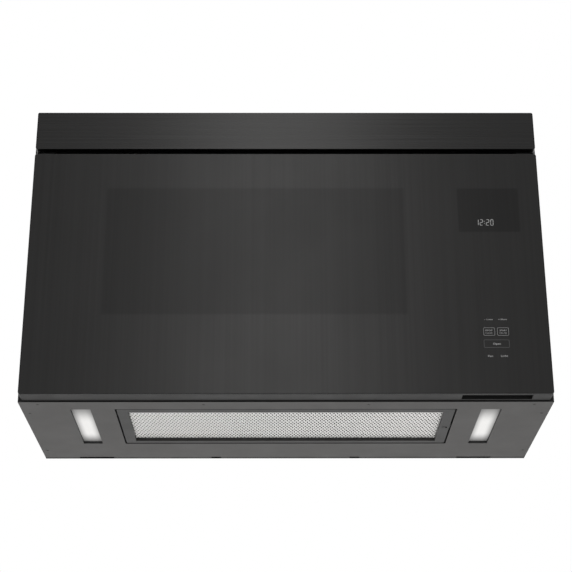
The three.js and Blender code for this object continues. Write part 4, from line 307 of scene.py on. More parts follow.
# Screws. The profile runs from a head's underside to the floor of its recess: the reach of the
# odd and of the even corners, as shares of the radius, and the level, as a share of the height.
# The pan's screws are given from the cabinet's side and front, in millimetres.
SCREW_PROFILE = (
    (1.0, 1.0, 0.0),
    (1.0, 1.0, 0.5),
    (0.82, 0.82, 1.0),
    (0.46, 0.32, 1.0),
    (0.46, 0.32, 0.4),
)
SCREW_SIDES = 12
SCREW_RADIUS = 4.2 * MM
SCREW_HEIGHT = 2.4 * MM
SCREW_SEAT = 0.2 * MM
PAN_SCREWS = [(26.6, 10.8), (9.5, 50.7), (8.5, 234.0), (262.0, 11.7)]
PAN_SCREW_RADIUS = 2.0 * MM
PAN_SCREW_HEIGHT = 1.1 * MM
PAN_SCREW_DEPTH = 1.2 * MM
BACK_SCREWS_X = (-300 * MM, -170 * MM, -42 * MM, 42 * MM, 170 * MM, 300 * MM)
BACK_SCREWS_Z = (-148 * MM, 148 * MM)
TOP_SCREWS_X = (-355 * MM, 355 * MM)
TOP_SCREWS_Y = (-250 * MM, -150 * MM)


# ---------------------------------------------------------------- material nodes

# Sockets of a colour mix, which share their names with those for other kinds of value.
MIX_FACTOR, MIX_A, MIX_B, MIX_RESULT = 0, 6, 7, 2

# Nearly all of a noise lies in its span.
NOISE_SPAN = (0.3, 0.7)
FULL = (0.0, 1.0)
LOW_SHEEN = {"Specular IOR Level": 0.25}


def new_material(name, sockets):
    material = bpy.data.materials.new(name)
    material.use_nodes = True
    for socket, value in sockets.items():
        shader_of(material).inputs[socket].default_value = value
    return material


def shader_of(material):
    return material.node_tree.nodes["Principled BSDF"]


def add_node(owner, kind, inputs=None, **settings):
    """A node of a material or the world; an input is a plain value or another node's output."""
    node = owner.node_tree.nodes.new(kind)
    for setting, value in settings.items():
        setattr(node, setting, value)
    for socket, value in (inputs or {}).items():
        if isinstance(value, bpy.types.NodeSocket):
            owner.node_tree.links.new(value, node.inputs[socket])
        else:
            node.inputs[socket].default_value = value
    return node


def drive(material, socket, output):
    material.node_tree.links.new(output, shader_of(material).inputs[socket])


def place_on_piece(material):
    return add_node(material, "ShaderNodeTexCoord").outputs["Object"]


def split_axes(material, vector):
    return add_node(material, "ShaderNodeSeparateXYZ", {0: vector}).outputs


def even(size):
    return (size, size, size)


def noise(material, grain, detail=3.0):
    """Noise whose spots measure grain along x, y and z, in metres."""
    scale = {"Vector": place_on_piece(material), "Scale": [1 / size for size in grain]}
    stretched = add_node(material, "ShaderNodeMapping", scale).outputs["Vector"]
    field = {"Vector": stretched, "Scale": 1.0, "Detail": detail}
    return add_node(material, "ShaderNodeTexNoise", field).outputs[0]


def remap(material, value, source, target, smooth=False):
    """Carries value from the source range to the target range, clamped."""
    ranges = {
        "Value": value,
        "From Min": source[0],
        "From Max": source[1],
        "To Min": target[0],
        "To Max": target[1],
    }
    kind = "SMOOTHSTEP" if smooth else "LINEAR"
    node = add_node(material, "ShaderNodeMapRange", ranges, interpolation_type=kind)
    return node.outputs["Result"]


def math_of(owner, operation, first, second=0.0):
    node = add_node(owner, "ShaderNodeMath", {0: first, 1: second}, operation=operation)
    return node.outputs["Value"]


def mix(material, factor, first, second):
    inputs = {MIX_FACTOR: factor, MIX_A: first, MIX_B: second}
    return add_node(material, "ShaderNodeMix", inputs, data_type="RGBA").outputs[MIX_RESULT]


def mix_shaders(owner, factor, first, second):
    return add_node(owner, "ShaderNodeMixShader", {0: factor, 1: first, 2: second}).outputs[0]


def shade(color, factor):
    return [min(1.0, channel * factor) for channel in color[:3]] + [1.0]


def grey(name):
    """A grey of the table above as a linear colour."""
    level, warmth = GREYS[name]
    linear = ((level / 255 + 0.055) / 1.055) ** 2.4
    return [linear * (1 + warmth), linear, linear * (1 - warmth), 1.0]


def two_tone(material, share, color, tone):
    """The colour, darker by tone where share is 0 and lighter by tone where it is 1."""
    return mix(material, share, shade(color, 1 - tone), shade(color, 1 + tone))


def rounded_normal(material, radius):
    return add_node(material, "ShaderNodeBevel", {"Radius": radius}, samples=4).outputs["Normal"]


def edge_mask(material, rounded):
    """0 on flat faces and 1 on outer and inner edges, from how far rounding turns the normal."""
    true_normal = add_node(material, "ShaderNodeNewGeometry").outputs["Normal"]
    normals = {0: rounded, 1: true_normal}
    turned = add_node(material, "ShaderNodeVectorMath", normals, operation="DOT_PRODUCT")
    return remap(material, turned.outputs["Value"], WEAR_COSINES, FULL)


def rubbed_edges(material, plain, rounded, wear, bright):
    """The plain colour, mixed with a bright one on the edges, by wear."""
    rubbed = math_of(material, "MULTIPLY", edge_mask(material, rounded), wear)
    return mix(material, rubbed, plain, bright)


def add_relief(material, height, strength, depth=GRAIN_DEPTH, normal=None):
    """Raises the surface by a height field, over its rounded normal where one is given."""
    relief = {"Height": height, "Strength": strength, "Distance": depth}
    if normal is not None:
        relief["Normal"] = normal
    drive(material, "Normal", add_node(material, "ShaderNodeBump", relief).outputs["Normal"])


def textured(
    name,
    color,
    roughness,
    metallic=0.0,
    patch=50 * MM,
    tone=0.1,
    relief=0.1,
    wear=0.3,
    sockets=None,
):
    """A surface with patchy tone and gloss, fine relief and soft edges that are rubbed lighter."""
    material = new_material(name, {"Metallic": metallic, **(sockets or {})})
    patches = noise(material, even(patch))
    rounded = rounded_normal(material, EDGE_RADIUS)
    plain = two_tone(material, remap(material, patches, NOISE_SPAN, FULL), color, tone)
    bright = shade(color, RUBBED_SHADE)
    drive(material, "Base Color", rubbed_edges(material, plain, rounded, wear, bright))
    gloss = [roughness * share for share in GLOSS_SPREAD]
    drive(material, "Roughness", remap(material, patches, NOISE_SPAN, gloss))
    specks = noise(material, even(SPECK), detail=2.0)
    add_relief(material, specks, relief, normal=rounded)
    return material


def region(material, ranges, soft):
    """1 inside a box, given as a range for each axis that bounds it, and 0 outside."""
    place = split_axes(material, place_on_piece(material))
    inside = None
    for axis, (low, high) in ranges.items():
        distance = math_of(material, "SUBTRACT", place[axis], (low + high) / 2)
        distance = math_of(material, "ABSOLUTE", distance)
        half = (high - low) / 2
        share = remap(material, distance, (half + soft, half - soft), FULL, smooth=True)
        inside = share if inside is None else math_of(material, "MULTIPLY", inside, share)
    return inside


def recolor(material, inside, color):
    """Gives the material this colour where inside is 1."""
    socket = shader_of(material).inputs["Base Color"]
    below = socket.links[0].from_socket
    material.node_tree.links.new(mix(material, inside, below, color), socket)


def standing_faces(material):
    """0 on faces that look down, and 1 on those that stand or look up."""
    normal = add_node(material, "ShaderNodeTexCoord").outputs["Normal"]
    return remap(material, split_axes(material, normal)["Z"], DOWNWARD, FULL)


def sides_with_painted_shade(material, surface, color, node):
    """The surface, with painted shade where it rolls over towards the two sides of its node."""
    half_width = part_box(node)[1].x
    place = split_axes(material, place_on_piece(material))
    distance = math_of(material, "ABSOLUTE", place["X"])
    roll = (half_width - SIDE_ROLL, half_width - SIDE_ROLL / 2)
    rolled = remap(material, distance, roll, FULL, smooth=True)
    return mix(material, rolled, surface, shade(color, ROLLED_PAINTED_SHADE))


def holes(material, axes, pitch, radius):
    """1 in round holes on a diagonal grid over the plane of two axes, 0 between them."""
    place = split_axes(material, place_on_piece(material))
    first, second = (place[axis] for axis in axes)
    turned = {
        "X": math_of(material, "ADD", first, second),
        "Y": math_of(material, "SUBTRACT", first, second),
    }
    plane = add_node(material, "ShaderNodeCombineXYZ", turned).outputs[0]
    side = pitch * math.sqrt(2)
    grid = {"Vector": plane, "Scale": 1 / side, "Randomness": 0.0}
    cells = add_node(material, "ShaderNodeTexVoronoi", grid, voronoi_dimensions="2D")
    reach = radius * math.sqrt(2) / side
    border = (reach + HOLE_BLUR, reach - HOLE_BLUR)
    return remap(material, cells.outputs["Distance"], border, FULL)


# ---------------------------------------------------------------- materials


def make_door_glass_material():
    """One dark sheet: the window and the display show only as slightly darker areas, and painted
    shade darkens its sides where they roll over.
    """
    material = new_material("door_sheet", {"Metallic": 0.95})
    color = grey("door")
    streaks = noise(material, DOOR_STREAKS, detail=4.0)
    spread = remap(material, streaks, NOISE_SPAN, FULL)
    sheet = two_tone(material, spread, color, tone=0.06)
    for across, upward, blur, darkness in (WINDOW, DISPLAY):
        darker = two_tone(material, spread, shade(color, darkness), tone=0.05)
        inside = region(material, {"X": across, "Z": upward}, blur)
        sheet = mix(material, inside, sheet, darker)
    drive(material, "Base Color", sides_with_painted_shade(material, sheet, color, "door_glass"))
    smudges = noise(material, even(DOOR_SMUDGE), detail=4.0)
    drive(material, "Roughness", remap(material, smudges, NOISE_SPAN, DOOR_ROUGHNESS))
    ripple = noise(material, DOOR_RIPPLE, detail=1.0)
    rounded = rounded_normal(material, DOOR_EDGE_RADIUS)
    add_relief(material, ripple, strength=0.03, depth=MM, normal=rounded)
    return material


def make_trim_material():
    """Dark steel, brushed along the trim, with painted shade on its sides where they roll over."""
    material = new_material("brushed_trim", {"Metallic": 1.0})
    color = grey("trim")
    brushing = noise(material, TRIM_BRUSHING, detail=2.0)
    brushed = two_tone(material, remap(material, brushing, NOISE_SPAN, FULL), color, tone=0.12)
    drive(material, "Base Color", sides_with_painted_shade(material, brushed, color, "top_trim"))
    drive(material, "Roughness", remap(material, brushing, NOISE_SPAN, TRIM_ROUGHNESS))
    rounded = rounded_normal(material, TRIM_EDGE_RADIUS)
    add_relief(material, brushing, strength=0.04, normal=rounded)
    return material


def make_moulding_material():
    """Dark moulded plastic, with painted shade inside the finger pull."""
    material = textured(
        "door_moulding",
        grey("moulding"),
        roughness=0.5,
        tone=0.04,
        wear=0.1,
        sockets=LOW_SHEEN,
    )
    recolor(material, region(material, FINGER_PULL, soft=0.3 * MM), grey("finger_pull_shade"))
    return material


def paint_shade_behind_slot(material, name):
    """Paints shade on the cabinet's front face where it stands behind the slot: another grey there,
    and full roughness so that it stays dull.
    """
    low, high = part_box("outer_wrap")
    door_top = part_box("door_glass")[1].z
    behind = {
        "Y": (low.y - MM, low.y + SLOT_FACE_DEPTH),
        "Z": (door_top + SLOT_CLEARANCE, high.z + MM),
    }
    inside = region(material, behind, CRISP)
    recolor(material, inside, grey(name))
    roughness = shader_of(material).inputs["Roughness"].links[0].from_socket
    drive(material, "Roughness", math_of(material, "MAXIMUM", roughness, inside))
    return material


def make_cabinet_paint():
    paint = textured("satin_paint", grey("cabinet"), roughness=0.5, relief=0.25, wear=0.15)
    return paint_shade_behind_slot(paint, "cabinet_shade_behind_slot")


def make_enamel(name):
    return textured(name, grey("enamel"), roughness=0.4, tone=0.05, relief=0.25, wear=0.1)


def make_cavity_material():
    """Cavity enamel, with punched patches for the lamp on the right and the steam on the left."""
    material = make_enamel("cavity_liner_enamel")
    low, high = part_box("cavity_liner")
    lamp_low, lamp_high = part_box("cavity_lamp")
    pattern = holes(material, ("Y", "Z"), PUNCH_PITCH, PUNCH_HOLE)
    lamp_patch = {
        "X": (high.x - PUNCH_REACH, high.x + MM),
        "Y": (lamp_low.y, lamp_high.y),
        "Z": (lamp_low.z, lamp_high.z),
    }
    steam_patch = {"X": (low.x - MM, low.x + PUNCH_REACH), "Y": STEAM_Y, "Z": STEAM_Z}
    for patch in (lamp_patch, steam_patch):
        punched = math_of(material, "MULTIPLY", region(material, patch, CRISP), pattern)
        recolor(material, punched, grey("punched_hole"))
    return material


def make_screen_material():
    """The perforated screen behind the window's inner sheet."""
    material = textured(
        "window_screen",
        grey("window_screen"),
        roughness=0.3,
        metallic=0.4,
        tone=0.05,
        wear=0.1,
        sockets={"Coat Weight": 0.6},
    )
    inside = holes(material, ("X", "Z"), SCREEN_PITCH, SCREEN_HOLE)
    recolor(material, inside, grey("screen_hole"))
    return material


def make_zinc_material(name):
    """Zinc-coated steel: flat crystals that each catch the light a little differently."""
    material = new_material(name, {"Metallic": 1.0})
    color = grey("zinc")
    grid = {"Vector": place_on_piece(material), "Scale": 1 / CRYSTAL_SIZE}
    crystals = add_node(material, "ShaderNodeTexVoronoi", grid).outputs["Color"]
    tint = add_node(material, "ShaderNodeSeparateColor", {0: crystals}).outputs
    dark, light = (shade(color, factor) for factor in CRYSTAL_SHADES)
    plain = mix(material, tint["Red"], dark, light)
    rounded = rounded_normal(material, EDGE_RADIUS)
    bright = shade(color, ZINC_RUBBED_SHADE)
    drive(material, "Base Color", rubbed_edges(material, plain, rounded, ZINC_WEAR, bright))
    drive(material, "Roughness", remap(material, tint["Green"], FULL, CRYSTAL_ROUGHNESS))
    grain = noise(material, even(MM), detail=2.0)
    add_relief(material, grain, strength=0.1, normal=rounded)
    return material


def make_wall_plate_material():
    """The zinc of the wall plate, with painted shade on its lower tabs, where they reach into the
    underside's slots.
    """
    material = make_zinc_material("wall_plate_zinc")
    tabs = region(material, {"Z": TABS_Z}, soft=0.5 * MM)
    recolor(material, tabs, grey("tab_end_shade"))
    return material


def make_lens_material(node):
    """Frosted plastic lit from behind: a bright core that fades towards the rims."""
    low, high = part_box(node)
    plastic = {
        "Base Color": grey("light_lens"),
        "Roughness": 0.55,
        "Emission Color": LENS_LIGHT,
    }
    material = new_material(node + "_glow", plastic)
    place = split_axes(material, place_on_piece(material))
    frost = noise(material, even(LENS_FROST))
    glow = remap(material, frost, NOISE_SPAN, LENS_GLOW)
    fades = (
        ("X", low.x, 1, LENS_SIDE_FADE),
        ("X", high.x, -1, LENS_SIDE_FADE),
        ("Y", low.y, 1, LENS_FRONT_FADE),
        ("Y", high.y, -1, LENS_REAR_FADE),
    )
    for axis, rim, inward, (length, least) in fades:
        span = (rim, rim + inward * length)
        share = remap(material, place[axis], span, (least, 1.0), smooth=True)
        glow = math_of(material, "MULTIPLY", glow, share)
    drive(material, "Emission Strength", glow)
    add_relief(material, frost, strength=0.2)
    return material


def paint_shade_on_recess_walls(material):
    """Paints shade on the standing faces of the underside's recesses, filter opening and tab slots.
    """
    low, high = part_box("outer_wrap")
    across = (low.x + SIDE_WALL, high.x - SIDE_WALL)
    recesses = (low.y + FRONT_WALL, TAB_SLOTS_Y[0])
    walls = (
        ({"X": across, "Y": recesses}, "recess_wall_shade"),
        ({"X": FILTER_OPENING_X, "Y": recesses}, "filter_opening_wall_shade"),
        ({"X": across, "Y": TAB_SLOTS_Y}, "tab_slot_wall_shade"),
    )
    standing = standing_faces(material)
    for box, name in walls:
        wall = math_of(material, "MULTIPLY", standing, region(material, box, CRISP))
        recolor(material, wall, grey(name))


def make_underside_paint():
    """Grey paint, with painted shade at its front edge, rear bend, filter seam and standing faces.
    """
    material = textured(
        "underside_paint",
        grey("underside"),
        roughness=0.62,
        tone=0.035,
        relief=0.2,
        wear=0.1,
        sockets=LOW_SHEEN,
    )
    bend = {"Y": (-REAR_BEND, MM)}
    recolor(material, region(material, bend, soft=MM), grey("underside_bend_shade"))
    low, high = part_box("grease_filter_frame")
    seam = {
        "X": (-high.x - SEAM_SIDE, high.x + SEAM_SIDE),
        "Y": (low.y - SEAM_FRONT, high.y + SEAM_REAR),
    }
    recolor(material, region(material, seam, CRISP), grey("filter_seam_shade"))
    paint_shade_on_recess_walls(material)
    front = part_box("outer_wrap")[0].y
    edge = {"Y": (front - MM, front + FRONT_EDGE)}
    recolor(material, region(material, edge, CRISP / 2), grey("underside_front_edge_shade"))
    return material


def make_filter_rim_material():
    """Painted aluminium, with painted shade on its rolled edge and its standing faces."""
    material = textured(
        "filter_rim",
        grey("filter_rim"),
        roughness=0.45,
        tone=0.06,
        relief=0.2,
        wear=0.0,
        sockets=LOW_SHEEN,
    )
    low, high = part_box("grease_filter_frame")
    flat = {
        "X": (low.x + RIM_SIDE_ROLL, high.x - RIM_SIDE_ROLL),
        "Y": (low.y + RIM_FRONT_ROLL, high.y),
    }
    rolled = math_of(material, "SUBTRACT", 1.0, region(material, flat, RIM_BLUR))
    recolor(material, rolled, grey("filter_rolled_edge_shade"))
    recolor(material, standing_faces(material), grey("filter_standing_face_shade"))
    return material


def make_strand_material():
    """Bare aluminium, with a painted glint in two broad bands."""
    material = textured(
        "weave_wire",
        grey("strand"),
        roughness=0.45,
        metallic=0.25,
        tone=0.06,
        patch=4 * MM,
        wear=0.0,
    )
    for middle in GLINTS_X:
        band = {"X": (middle - GLINT_HALF, middle + GLINT_HALF)}
        inside = region(material, band, GLINT_FADE)
        inside = math_of(material, "MULTIPLY", inside, GLINT_SHARE)
        recolor(material, inside, grey("strand_glint"))
    return material


def make_plain_materials():
    """Looks that are patchy and worn, with nothing else to them."""
    return {
        "black_plastic": textured(
            "black_plastic", grey("black_plastic"), roughness=0.55, relief=0.3, tone=0.15
        ),
        "white_plastic": textured(
            "white_plastic", grey("white_plastic"), roughness=0.45, tone=0.03, wear=0.0
        ),
        "ceramic": textured("glass_ceramic", grey("ceramic"), roughness=0.22, tone=0.08),
        "bare_aluminium": textured(
            "milled_aluminium",
            grey("milled_aluminium"),
            roughness=0.32,
            relief=0.15,
            metallic=1.0,
        ),
        "lens": textured(
            "frosted_lens", grey("plain_lens"), roughness=0.5, tone=0.03, relief=0.2
        ),
        "circuit_board": textured(
            "circuit_board", BOARD_GREEN, roughness=0.4, tone=0.3, patch=4 * MM
        ),
        "copper": textured("copper", COPPER, roughness=0.3, tone=0.12, metallic=1.0),
        "charcoal": textured(
            "charcoal",
            grey("charcoal"),
            roughness=0.95,
            tone=0.5,
            patch=3 * MM,
            relief=0.8,
        ),
    }


def make_materials():
    """The looks of the record's material slots, by slot name."""
    return {
        "cabinet_paint": make_cabinet_paint(),
        "base_paint": make_underside_paint(),
        "trim_steel": make_trim_material(),
        "door_glass": make_door_glass_material(),
        "door_moulding": make_moulding_material(),
        "zinc_steel": make_zinc_material("zinc_plate"),
        "cavity_paint": make_enamel("cavity_enamel"),
        "filter_aluminium": make_filter_rim_material(),
        **make_plain_materials(),
    }


def dress_nodes(frame, materials):
    """Gives each CAD node its slot's look, or one of its own."""
    front_enamel = make_enamel("front_enamel")
    special = {
        "light_lens_left": make_lens_material("light_lens_left"),
        "light_lens_right": make_lens_material("light_lens_right"),
        "wall_plate": make_wall_plate_material(),
        # Painted shade on the front frame behind the air slot.
        "front_frame": paint_shade_behind_slot(front_enamel, "frame_shade_behind_slot"),
        "door_window": make_screen_material(),
        "cavity_liner": make_cavity_material(),
        "filter_catch": materials["filter_aluminium"],
    }
    slots = {part["node"]: part["material_slot"] for part in frame["record"]["subparts"]}
    for name, node in frame["nodes"].items():
        for holder in node.material_slots:
            holder.material = special.get(name, materials[slots[name]])


# ---------------------------------------------------------------- pieces


def finish_piece(name, shape, material, body):
    """Turns the shape into a piece, which rides on the body where one is named."""
    mesh = bpy.data.meshes.new(name)
    shape.to_mesh(mesh)
    shape.free()
    piece = bpy.data.objects.new(name, mesh)
    bpy.context.scene.collection.objects.link(piece)
    mesh.materials.append(material)
    if body:
        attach(piece, body)
    return piece


def add_prism(shape, outline, depth):
    """A closed prism: the outline's points, and the same points moved by depth."""
    near = [shape.verts.new(point) for point in outline]
    far = [shape.verts.new(point + depth) for point in outline]
    shape.faces.new(near)
    shape.faces.new(reversed(far))
    for index, corner in enumerate(near):
        following = (index + 1) % len(near)
        shape.faces.new((near[following], corner, far[index], far[following]))


def on_door(x, z, door_face):
    return Vector((x, door_face, z))


def segment_outline(start, end):
    """A pointed bar of the clock's stroke from start to end."""
    along = (end - start).normalized()
    across = Vector((-along.y, along.x))
    tip = DIGIT_STROKE / 2
    inner_start = start + along * tip
    inner_end = end - along * tip
    return [
        start,
        inner_start + across * tip,
        inner_end + across * tip,
        end,
        inner_end - across * tip,
        inner_start - across * tip,
    ]


def print_on_clock(shape, outline, left, door_face):
    """Prints a flat outline of (x, z) points from a digit's lower left corner, leaning a little."""
    points = [
        on_door(left + point.x + point.y * DIGIT_SLANT, CLOCK_BOTTOM + point.y, door_face)
        for point in outline
    ]
    add_prism(shape, points, Vector((0, -PRINT_DEPTH, 0)))


def print_digit(shape, digit, left, door_face):
    for name in DIGITS[digit]:
        start, end = (Vector((u * DIGIT_WIDTH, v * DIGIT_HEIGHT)) for u, v in SEGMENTS[name])
        print_on_clock(shape, segment_outline(start, end), left, door_face)


def print_colon(shape, left, door_face):
    half = DIGIT_STROKE / 2
    corners = ((-half, -half), (half, -half), (half, half), (-half, half))
    for level in COLON_LEVELS:
        outline = [Vector((x, z + level * DIGIT_HEIGHT)) for x, z in corners]
        print_on_clock(shape, outline, left, door_face)


def make_clock(material, door_face):
    shape = bmesh.new()
    left = CLOCK_LEFT
    for character in CLOCK_TIME:
        if character == ":":
            print_colon(shape, left, door_face)
            left += COLON_WIDTH
        else:
            print_digit(shape, character, left, door_face)
            left += DIGIT_PITCH
    finish_piece("clock_digits", shape, material, "door")


def rounded_rectangle(left, right, bottom, top, radius):
    """Points (x, z) round a rectangle with rounded corners."""
    corners = [(right, top), (left, top), (left, bottom), (right, bottom)]
    points = []
    for quarter, (x, z) in enumerate(corners):
        inward = Vector((1 if x == left else -1, 1 if z == bottom else -1))
        centre = Vector((x, z)) + inward * radius
        for step in range(CORNER_STEPS + 1):
            angle = math.radians(90) * (quarter + step / CORNER_STEPS)
            points.append(centre + Vector((math.cos(angle), math.sin(angle))) * radius)
    return points


def add_loop(shape, outer, inner, depth):
    """A closed flat loop between two outlines with the same number of points."""
    rings = [[shape.verts.new(point) for point in outline] for outline in (outer, inner)]
    rings += [[shape.verts.new(point + depth) for point in outline] for outline in (inner, outer)]
    for index, ring in enumerate(rings):
        following = rings[(index + 1) % len(rings)]
        for corner in range(len(ring)):
            after = (corner + 1) % len(ring)
            shape.faces.new((ring[corner], ring[after], following[after], following[corner]))


def print_key(shape, key, line, door_face):
    """Prints the outline of a key on the door, with a line of this width."""
    left, right, bottom, top = (side * MM for side in key)
    outer = rounded_rectangle(left, right, bottom, top, KEY_RADIUS)
    inner = rounded_rectangle(
        left + line, right - line, bottom + line, top - line, KEY_RADIUS - line
    )
    loops = [[on_door(point.x, point.y, door_face) for point in loop] for loop in (outer, inner)]
    add_loop(shape, *loops, Vector((0, -PRINT_DEPTH, 0)))


def letters_of(word, weight):
    """The word's letters as closed meshes about the plane z = 0, at the font's own size."""
    curve = bpy.data.curves.new(word, "FONT")
    curve.body = word
    curve.resolution_u = 2
    curve.extrude = LETTER_HALF_DEPTH
    curve.offset = weight
    writer = bpy.data.objects.new(word, curve)
    bpy.context.scene.collection.objects.link(writer)
    letters = bmesh.new()
    evaluated = writer.evaluated_get(bpy.context.evaluated_depsgraph_get())
    letters.from_mesh(evaluated.to_mesh())
    evaluated.to_mesh_clear()
    bpy.data.objects.remove(writer)
    bpy.data.curves.remove(curve)
    bmesh.ops.remove_doubles(letters, verts=letters.verts, dist=LETTER_MERGE)
    return letters


def fit(values, middle, size):
    """The scale and the shift that spread the values over this size about a middle."""
    scale = size / (max(values) - min(values))
    return scale, middle - (max(values) + min(values)) / 2 * scale


def print_word(shape, word, place, door_face):
    """Prints a word on the door, fitted to its place's width and height."""
    middle_x, middle_z, width, height, weight = place
    letters = letters_of(word, weight)
    across = [vertex.co.x for vertex in letters.verts]
    upward = [vertex.co.y for vertex in letters.verts]
    scale_x, shift_x = fit(across, middle_x * MM, width * MM)
    scale_z, shift_z = fit(upward, middle_z * MM, height * MM)
    for vertex in letters.verts:
        depth = (vertex.co.z + LETTER_HALF_DEPTH) * PRINT_DEPTH
        x = vertex.co.x * scale_x + shift_x
        z = vertex.co.y * scale_z + shift_z
        vertex.co = on_door(x, z, door_face - depth)
    mesh = bpy.data.meshes.new(word)
    letters.to_mesh(mesh)
    letters.free()
    shape.from_mesh(mesh)
    bpy.data.meshes.remove(mesh)


def make_prints(pale, faint, door_face):
    """Key outlines and words; the wide key's outline is a faint and broader line."""
    shape = bmesh.new()
    for key in SMALL_KEYS:
        print_key(shape, key, KEY_LINE, door_face)
    for word, place in WORDS.items():
        print_word(shape, word, place, door_face)
    finish_piece("key_print", shape, pale, "door")
    shape = bmesh.new()
    print_key(shape, WIDE_KEY, 2 * KEY_LINE, door_face)
    finish_piece("key_print_faint", shape, faint, "door")


def add_screw(shape, centre, outward, radius, height):
    """A pan head with a star recess; centre is the middle of its underside."""
    side = outward.orthogonal().normalized()
    other = outward.cross(side)
    rings = []
    for wide, narrow, level in SCREW_PROFILE:
        ring = []
        for step in range(SCREW_SIDES):
            angle = 2 * math.pi * step / SCREW_SIDES
            reach = radius * (wide if step % 2 else narrow)
            spoke = side * math.cos(angle) + other * math.sin(angle)
            ring.append(shape.verts.new(centre + spoke * reach + outward * height * level))
        rings.append(ring)
    shape.faces.new(reversed(rings[0]))
    shape.faces.new(rings[-1])
    for lower, upper in zip(rings, rings[1:]):
        for step in range(SCREW_SIDES):
            after = (step + 1) % SCREW_SIDES
            shape.faces.new((lower[step], lower[after], upper[after], upper[step]))


def make_underside_screws(material):
    """Screws that are sunk in the pan's holes, the same on both sides."""
    cabinet_low, cabinet_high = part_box("outer_wrap")
    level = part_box("base_pan")[0].z + PAN_SCREW_DEPTH
    down = Vector((0, 0, -1))
    shape = bmesh.new()
    for inset, distance in PAN_SCREWS:
        for side in (-1, 1):
            x = side * (cabinet_high.x - inset * MM)
            place = Vector((x, cabinet_low.y + distance * MM, level))
            add_screw(shape, place, down, PAN_SCREW_RADIUS, PAN_SCREW_HEIGHT)
    finish_piece("underside_screws", shape, material, "cabinet")


def make_back_screws(material):
    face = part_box("rear_panel")[1].y - SCREW_SEAT
    shape = bmesh.new()
    for x in BACK_SCREWS_X:
        for z in BACK_SCREWS_Z:
            place = Vector((x, face, z))
            add_screw(shape, place, Vector((0, 1, 0)), SCREW_RADIUS, SCREW_HEIGHT)
    finish_piece("back_screws", shape, material, "cabinet")


def make_top_screws(material):
    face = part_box("outer_wrap")[1].z - SCREW_SEAT
    shape = bmesh.new()
    for x in TOP_SCREWS_X:
        for y in TOP_SCREWS_Y:
            place = Vector((x, y, face))
            add_screw(shape, place, Vector((0, 0, 1)), SCREW_RADIUS, SCREW_HEIGHT)
    finish_piece("top_screws", shape, material, "cabinet")


def make_rear_hem(material):
    """The pan's turned-up rear edge, where it shows behind the slots under the wall's tabs, painted
    nearly black as shade.
    """
    low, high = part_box("base_pan")
    bottom, top = (low.z + height for height in HEM_HEIGHTS)
    left, right = low.x + HEM_INSET, high.x - HEM_INSET
    outline = [(left, bottom), (right, bottom), (right, top), (left, top)]
    points = [Vector((x, HEM_Y, z)) for x, z in outline]
    shape = bmesh.new()
    add_prism(shape, points, Vector((0, HEM_THICKNESS, 0)))
    bmesh.ops.bevel(
        shape, geom=shape.edges[:], offset=HEM_BEVEL, segments=2, affect="EDGES", profile=0.5
    )
    finish_piece("pan_rear_hem", shape, material, "cabinet")


def make_latch_spring(frame, material):
    """The spring's coil again, as a piece of its own in place of the CAD node, which is hidden."""
    node = frame["nodes"]["latch_spring"]
    shape = bmesh.new()
    shape.from_mesh(node.data)
    coil = finish_piece("latch_spring_coil", shape, material, None)
    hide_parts("latch_spring")
    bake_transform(coil)


def add_strand(shape, start, end, level):
    """A flat strand from start to end, both (x, y), whose underside lies at this level."""
    along = (end - start).normalized()
    across = Vector((-along.y, along.x)) * STRAND_WIDTH / 2
    outline = [start - across, end - across, end + across, start + across]
    points = [Vector((point.x, point.y, level)) for point in outline]
    add_prism(shape, points, Vector((0, 0, STRAND_THICKNESS)))


def weave_strands(shape, low, high, lean, shift, level):
    """One set of parallel strands across the filter, leaning by lean as y grows."""
    reach = (high.y - low.y) * abs(lean)
    for row in range(int((high.x - low.x + reach) / DIAMOND_WIDTH) + 1):
        offset = low.x - (reach if lean > 0 else 0) + row * DIAMOND_WIDTH + shift
        limits = sorted(((low.x - offset) / lean, (high.x - offset) / lean))
        first = max(0.0, limits[0])
        last = min(high.y - low.y, limits[1])
        if last - first < DIAMOND_WIDTH:
            continue
        start = Vector((offset + first * lean, low.y + first))
        end = Vector((offset + last * lean, low.y + last))
        add_strand(shape, start, end, level)


def make_filter_weave(material):
    """Layers of expanded metal: in each, two sets of slanting strands make the diamonds."""
    low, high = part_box("grease_filter_mesh")
    slope = DIAMOND_WIDTH / DIAMOND_LENGTH
    rise = (high.z - low.z - 2 * STRAND_THICKNESS) / (WEAVE_LAYERS - 1)
    crossing = (1 - STRAND_OVERLAP) * STRAND_THICKNESS
    shape = bmesh.new()
    for layer in range(WEAVE_LAYERS):
        level = low.z + layer * rise
        shift = layer * DIAMOND_WIDTH / 2
        weave_strands(shape, low, high, slope, shift, level)
        weave_strands(shape, low, high, -slope, shift, level + crossing)
    for y in (low.y + STRAND_WIDTH, high.y - STRAND_WIDTH):
        add_strand(shape, Vector((low.x, y)), Vector((high.x, y)), low.z)
    weave = finish_piece("filter_weave", shape, material, "grease_filter")
    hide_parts("grease_filter_mesh")


# ---------------------------------------------------------------- studio


def make_camera():
    forward = Vector((
        math.sin(CAMERA_YAW) * math.cos(CAMERA_PITCH),
        math.cos(CAMERA_YAW) * math.cos(CAMERA_PITCH),
        math.sin(CAMERA_PITCH),
    ))
    level = Vector((math.cos(CAMERA_YAW), -math.sin(CAMERA_YAW), 0.0))
    upright = level.cross(forward)
    right = level * math.cos(CAMERA_ROLL) + upright * math.sin(CAMERA_ROLL)
    up = upright * math.cos(CAMERA_ROLL) - level * math.sin(CAMERA_ROLL)
    lens = bpy.data.cameras.new("camera")
    lens.sensor_width = SENSOR
    lens.lens = FOCAL_PIXELS * SENSOR / IMAGE_PIXELS
    camera = bpy.data.objects.new("camera", lens)
    camera.matrix_world = Matrix((right, up, -forward)).transposed().to_4x4()
    camera.matrix_world.translation = CAMERA_PLACE
    bpy.context.scene.collection.objects.link(camera)
    bpy.context.scene.camera = camera


